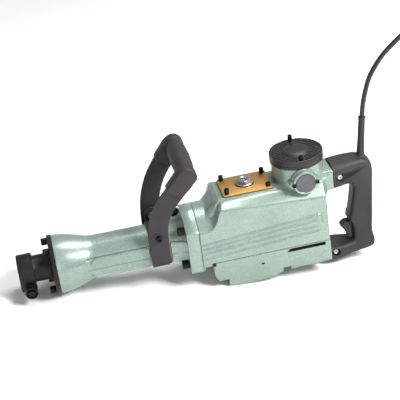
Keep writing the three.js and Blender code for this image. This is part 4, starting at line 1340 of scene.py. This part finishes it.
@dataclass
class RearHandle:
    """The D-shaped handle, carried round from its lower arm to its upper one, with its bolts and trigger."""

    # Each station: the inner edge's x and z, the outer edge's x and z, and half the width across.
    stations: tuple[tuple[float, ...], ...] = (
        (38.3, -71, 38.3, -102, 29), (50, -72, 50, -102, 29), (64, -73, 64, -101.4, 28.5),
        (78, -73.6, 82, -99.4, 24.5), (88, -73.6, 102, -97.6, 21), (92.4, -71, 122, -95.6, 19.6),
        (93.4, -64, 133, -92.6, 19), (93.6, -56, 135.8, -85, 19), (93.4, -48, 135.2, -76, 19),
        (92.4, -40, 133.0, -66, 19), (89.6, -32.6, 132.2, -54, 19.2), (86.4, -27.5, 132.8, -45, 19.3),
        (87, -21, 133.6, -36, 19.4), (90.4, -12, 134.6, -22, 19.5), (93.5, 3, 135.6, -3, 19.6),
        (96.5, 20, 137, 19, 19.7), (99, 36, 138.6, 46, 19.8), (98.6, 44, 140, 72, 20),
        (93.4, 49, 137, 88, 20.4), (87, 50.6, 127, 96, 22), (78, 50.8, 112, 99.6, 25), (70, 50.6, 88, 99, 28),
        (61, 50.2, 61, 97, 29),
    )
    # Each bolt: its name, its x and z, and how far its pocket goes in.
    bolts: tuple[tuple[str, float, float, float], ...] = (
        ("upper", 74.0, 73.0, 10.0), ("lower", 54.0, -84.0, 9.0),
    )
    trigger: tuple[Span, ...] = (
        (84.6, -70), (92, -70), (94, -66), (93, -33), (80, -33.4), (72.4, -38.6), (71.2, -41.6), (76.0, -47.6),
        (80.8, -55.6), (83.2, -63),
    )

    def build(self) -> None:
        """Makes the handle, its two bolts and the trigger."""
        line = spline(self.stations, 200)
        section = box_section((1.0, 1.0), 4.6, 160)
        inner, outer, half = line[:, [0, 1]], line[:, [2, 3]], line[:, 4]
        middle, arm = (inner + outer) / 2, (outer - inner) / 2
        flat = middle[:, None] + arm[:, None] * section[None, :, :1]
        grid = np.stack([flat[..., 0], half[:, None] * section[None, :, 1], flat[..., 1]], axis=-1)
        grid[..., 1] = self.recessed(grid, half[:, None])
        skin = Skin().add(grid, Cap.FACE)
        settle(skin.made("rear_handle_shell", PLASTIC), BODY, PLASTIC, "rear_handle")
        for name, x, z, inset in self.bolts:
            place = (x, inset - 29.0, z)
            screws(f"handle_screw_{name}", CapScrew(5.0, 4.6, 4.0, 45.0), [place], "-y", BODY, BRIGHT,
                   f"handle_bolt_{name}")
        lever = prism(eased(self.trigger, 3.0), Axis.Y, -9.0, 9.0, 2.2, 4)
        settle(Skin().add(lever).made("trigger_lever", PLASTIC), "trigger", PLASTIC, "trigger")

    def recessed(self, grid: Array, half: Array) -> Array:
        """Sinks a tapering channel behind the upper bolt and a round pocket at each bolt, on both sides.

        Args:
            grid: The handle's points.
            half: Half the width at each row.

        Returns:
            The points' y, drawn in.
        """
        x, y, z = grid[..., 0], grid[..., 1], grid[..., 2]
        side = ramp(np.abs(y) / half, 0.7, 0.93)
        depth = np.zeros_like(x)
        for _, bolt_x, bolt_z, inset in self.bolts:
            depth = np.maximum(depth, (inset + 1) * (1 - ramp(np.hypot(x - bolt_x, z - bolt_z), 6.6, 7.8)))
        fade = 1 - 0.9 * ramp(x, 82, 136)
        _, upper_x, upper_z, _ = self.bolts[0]
        centre = upper_z + (x - upper_x) * 0.16
        channel = band(z, centre - 6.5 * fade, centre + 6.5 * fade, 1.0) * band(x, 76, 134, 2.0)
        depth = np.maximum(depth, 8.0 * fade * channel)
        return np.sign(y) * (np.abs(y) - depth * side)


@dataclass
class SideHandle:
    """The steel bow clamped round the barrel, with a rubber grip moulded over its top."""

    strap: Span = (2.5, 18.3)  # half thickness and half width
    inner: float = 48.3
    bow: tuple[Span, ...] = ((-280.5, -16.5), (-280.5, 36), (-276, 70), (-262, 104), (-241, 133), (-220, 156))
    grip: Span = (-214.5, 163.0)
    boot: tuple[Span, ...] = (
        (-257, 144), (-232, 122), (-198, 153), (-196, 163), (-200, 174), (-209, 181), (-220, 181), (-231, 175),
    )
    band_x: Span = (-296.5, -263.5)
    band_radius: float = 42.25
    bolt: Span = (-280.0, 39.0)

    def build(self) -> None:
        """Makes the bow, the grip, the band and the two bolts."""
        self.straps()
        self.rubber()
        self.band()
        for name, side, facing in (("near", -1, "-y"), ("far", 1, "+y")):
            place = (self.bolt[0], side * (self.inner + 5.0 + GAP), self.bolt[1])
            screws(f"side_screw_{name}", CapScrew(6.0, 5.5, 4.0, 14.0), [place], facing, "side_handle", SCREW,
                   f"side_bolt_{name}")
        nut = (self.bolt[0], 41.0 - GAP, self.bolt[1])
        screws("side_nut", CapScrew(6.4, 3.4, 3.0, 4.0), [nut], "-y", "side_handle", BRIGHT)

    def straps(self) -> None:
        """Each strap is a flat rounded section carried up the bow, which leans outwards above z = 60."""
        line = spline(self.bow, 60)
        skin = Skin()
        for side in (-1, 1):
            lean = 0.22 * np.maximum(0, line[:, 1] - 60)
            y = side * (self.inner + self.strap[0] + lean)
            path = np.stack([line[:, 0], y, line[:, 1]], axis=-1)
            skin.add(swept(path, box_section(self.strap, 11.0, 96), np.array([0.0, 1.0, 0.0])))
        tube = eased([(0, -72), (9, -72), (9, 72), (0, 72)], 1.0, closed=False)
        tube[[0, -1], 0] = 0
        skin.add(turned(tube, Axis.Y, self.grip, 40), Cap.POLE)
        settle(skin.made("side_bow", STRAP), "side_handle", STRAP, "side_handle_bow")

    def rubber(self) -> None:
        """The grip swells between its two boots, which reach down over the straps and draw in with them."""
        swell = spline([(17, -50), (18.2, -30), (19, 0), (18.2, 30), (17, 50)], 30)
        profile = np.vstack([[(0, -62), (17, -62)], swell, [(17, 62), (0, 62)]])
        skin = Skin().add(turned(profile, Axis.Y, self.grip, 72), Cap.POLE)
        for side in (-1, 1):
            grid = prism(eased(self.boot, 7.0, steps=6), Axis.Y, *sorted((side * 56.0, side * 79.0)), 4.0, 5)
            grid[..., 1] -= side * 5 * np.maximum(0, 160 - grid[..., 2]) / 36
            skin.add(grid)
        settle(skin.made("side_grip_rubber", RUBBER), "side_handle", RUBBER, "side_grip")

    def band(self) -> None:
        """Two half bands: a flat section carried round the barrel, with two rounded ears on the upper."""
        low, high = self.band_x
        middle = (low + high) / 2
        section = box_section((1.25, (high - low) / 2), 9.0, 48)
        for name, start in (("upper", 0.0), ("lower", np.pi)):
            angle = start + np.linspace(0.007, np.pi - 0.007, 72)
            ray = np.stack([np.zeros_like(angle), np.cos(angle), np.sin(angle)], axis=-1)
            skin = Skin().add(swept(ray * self.band_radius + (middle, 0, 0), section, ray))
            if name == "upper":
                turn = np.radians(np.linspace(0, 180, 19))
                top = np.stack([middle + 13.5 * np.cos(turn), self.bolt[1] + 2 + 13.5 * np.sin(turn)], axis=-1)
                ear = np.vstack([top, [(middle - 13.5, 2), (middle + 13.5, 2)]])
                skin.add(prism(ear, Axis.Y, 41.5, 48, 0.8)).add(prism(ear, Axis.Y, -48, -41.5, 0.8))
            settle(skin.made(f"clamp_band_{name}", STRAP), "side_handle", STRAP, f"band_{name}")


@dataclass
class Cable:
    """The mains cable: up out of its guard, over and down to the floor, and round a coil to its plug."""

    radius: float = 4.5
    length: float = 5.0  # metres
    guard_at: Span = (121.4, 92.0)
    guard_long: float = 85.0
    # Offsets from the guard's top end, in the resting frame.
    route: tuple[Point, ...] = (
        (0, 0, 0), (1.5, 0, 27), (5, 0, 50), (11, 0, 75), (22, 0, 98), (36, 0, 119), (53, 0, 137), (69, 0, 152),
        (90, 0, 166), (115, 0, 175), (142, 0, 172), (165, 0, 156), (182, 0, 130), (193, 0, 95), (199, 0, 50),
        (201, 0, 0), (201.5, 0, -60), (201.5, 0, -120), (201.5, -2, -172), (201.4, -13, -214.5),
        (201.3, -35, -242.2), (201.3, -64, -255.1),
    )
    coil_at: Span = (458.0, -100.0)
    # Turns made, radius and height along the coil: in over the top, then out, in and out again layer by layer.
    coil: tuple[Point, ...] = (
        (0.0, 54.0, 34.0), (0.3, 54.0, 31.7), (2.0, 36.5, 31.5), (2.4, 36.0, 22.5), (5.7, 72.0, 22.5),
        (6.05, 72.0, 13.5), (9.2, 36.5, 13.5), (9.55, 36.0, 4.5), (12.75, 72.0, 4.5),
    )
    plug_at: Point = (520.0, -28.0, 18.2)

    def build(self) -> None:
        sleeve, plug = self.guard(), self.plug()
        start = at_rest(np.array([self.guard_at[0] + (self.guard_long + GAP) * math.sin(TILT), 0.0,
                                  self.guard_at[1] + (self.guard_long + GAP) * math.cos(TILT)]))
        path = self.centreline(start / MM)
        curve = bpy.data.curves.new("mains_cable", "CURVE")
        curve.dimensions = "3D"
        curve.bevel_depth = self.radius * MM
        curve.bevel_resolution = 3
        curve.use_fill_caps = True
        thread = curve.splines.new("POLY")
        thread.points.add(len(path) - 1)
        thread.points.foreach_set("co", np.hstack([path * MM, np.ones((len(path), 1))]).ravel())
        thread.use_smooth = True
        curve.materials.append(CORD_SKIN.material())
        cable = linked("mains_cable", curve)
        settle(cable, BODY, CORD_SKIN, "cord", "cord_coil")

    def centreline(self, start: Array) -> Array:
        """One smooth curve through the route, the coil at sixteen points a turn, and the way to the plug.

        Args:
            start: The guard's top end, in resting-frame millimetres.

        Returns:
            The points of the cable's middle, in the same frame.
        """
        turns, radius, height = np.array(self.coil).T
        at = np.arange(0, turns[-1] * 16 + 0.5) / 16
        angle = -2 * np.pi * at
        ring = np.interp(at, turns, radius)
        coil = np.stack([self.coil_at[0] + ring * np.cos(angle), self.coil_at[1] + ring * np.sin(angle),
                         np.interp(at, turns, height)], axis=-1)
        end = np.array(self.plug_at)
        tail = end - np.array([(44, 0, 13.7), (32, 0, 12.0), (20, 0, 7.0), (8, 0, 1.4), (-4, 0, 0)])
        knots = np.vstack([start + np.array(self.route), coil, tail])
        return spline(knots, 4 * (len(knots) - 1) + 1)

    def guard(self) -> bpy.types.Object:
        """The rubber sleeve is turned about the upright, with a collar and rings at its foot and a lip on top.

        Returns:
            The sleeve.
        """
        top = self.guard_long
        profile = [(0, -10), (8.4, -10), (8.4, 3.0), (9.6, 3.6), (9.6, 6.2), (8.6, 7.2), (7.7, 8.0), (7.4, 14),
                   (6.9, 26), (6.5, 44), (6.3, 66), (6.25, top - 5), (6.7, top - 4), (7.2, top - 2.6),
                   (7.2, top - 0.8), (6.6, top), (4.9, top), (4.7, top - 3), (0, top - 3)]
        cos, sin = math.cos(TILT), math.sin(TILT)
        turn = np.array([(cos, 0, sin), (0, 1, 0), (-sin, 0, cos)])
        grid = turned(profile, Axis.Z, sides=56) @ turn.T + (self.guard_at[0], 0, self.guard_at[1])
        sleeve = Skin().add(grid, Cap.POLE).made("cable_guard", RUBBER)
        return settle(sleeve, BODY, RUBBER, "cord_guard")

    def plug(self) -> bpy.types.Object:
        """The plug is turned about X: a ringed sleeve that widens to a fluted body, with two bright pins.

        Returns:
            The plug.
        """
        sleeve = [(5.4, 0), (5.9, 1)]
        for ring in range(6):
            start = 5.0 + 5.6 * ring
            size = 5.9 + 0.22 * ring
            sleeve += [(size, start), (size - 0.9, start + 0.4), (size - 0.9, start + 1.8),
                       (size + 0.1, start + 2.2)]
        body = [(8.6, 46), (9.6, 52), (13.2, 57), (16.8, 60), (18, 64), (18, 80), (17.2, 82.2), (15.6, 83),
                (0, 83)]
        profile = np.array([(0, 0), *sleeve, *body]) + (0, self.plug_at[0])
        at = (self.plug_at[1], self.plug_at[2])
        skin = Skin().add(turned(profile, Axis.X, at, 72, flutes=18, depth=0.03), Cap.POLE)
        pin = np.array([(0, 80), (2.4, 80), (2.4, 99), (1.7, 100.6), (0, 101)]) + (0, self.plug_at[0])
        for offset in (-9.5, 9.5):
            skin.add(turned(pin, Axis.X, (at[0] + offset, at[1]), 24), Cap.POLE, finish=1)
        plug = skin.made("mains_plug", [PLASTIC, BRIGHT], resting=True)
        return settle(plug, BODY, PLASTIC, "cord_plug")


@dataclass
class Works:
    """The working parts inside, which keep their CAD shapes."""

    dress: dict[str, Finish] = field(default_factory=lambda: {
        **dict.fromkeys(("cylinder_liner", "second_hammer", "striker", "piston", "wrist_pin", "connecting_rod",
                         "countershaft", "crankshaft", "crank_gear", "crank_bearing"), BRIGHT),
        "retainer_pin": SCREW, "oil_gasket": BOARD, "stator": WINDINGS, "armature": WINDINGS,
        "cooling_fan": PLASTIC, "brush_near": GREY, "brush_far": GREY, "switch_body": GREY,
    })

    def build(self) -> None:
        """Gives each kept node its finish."""
        for name, finish in self.dress.items():
            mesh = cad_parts[name].data
            mesh.materials.clear()
            mesh.materials.append(finish.material())
            log.info("%s keeps its shape in %s", name, finish.name)


def main() -> None:
    """Builds the studio, the cable and then each sub-assembly."""
    logging.basicConfig(level=logging.INFO, format="%(name)s: %(message)s")
    for part in (Studio(), Cable(), Nose(), Barrel(), Housing(), GearCover(), MotorTop(), RearHandle(),
                 SideHandle(), Works()):
        part.build()
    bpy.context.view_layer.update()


if __name__ == "__main__":
    main()
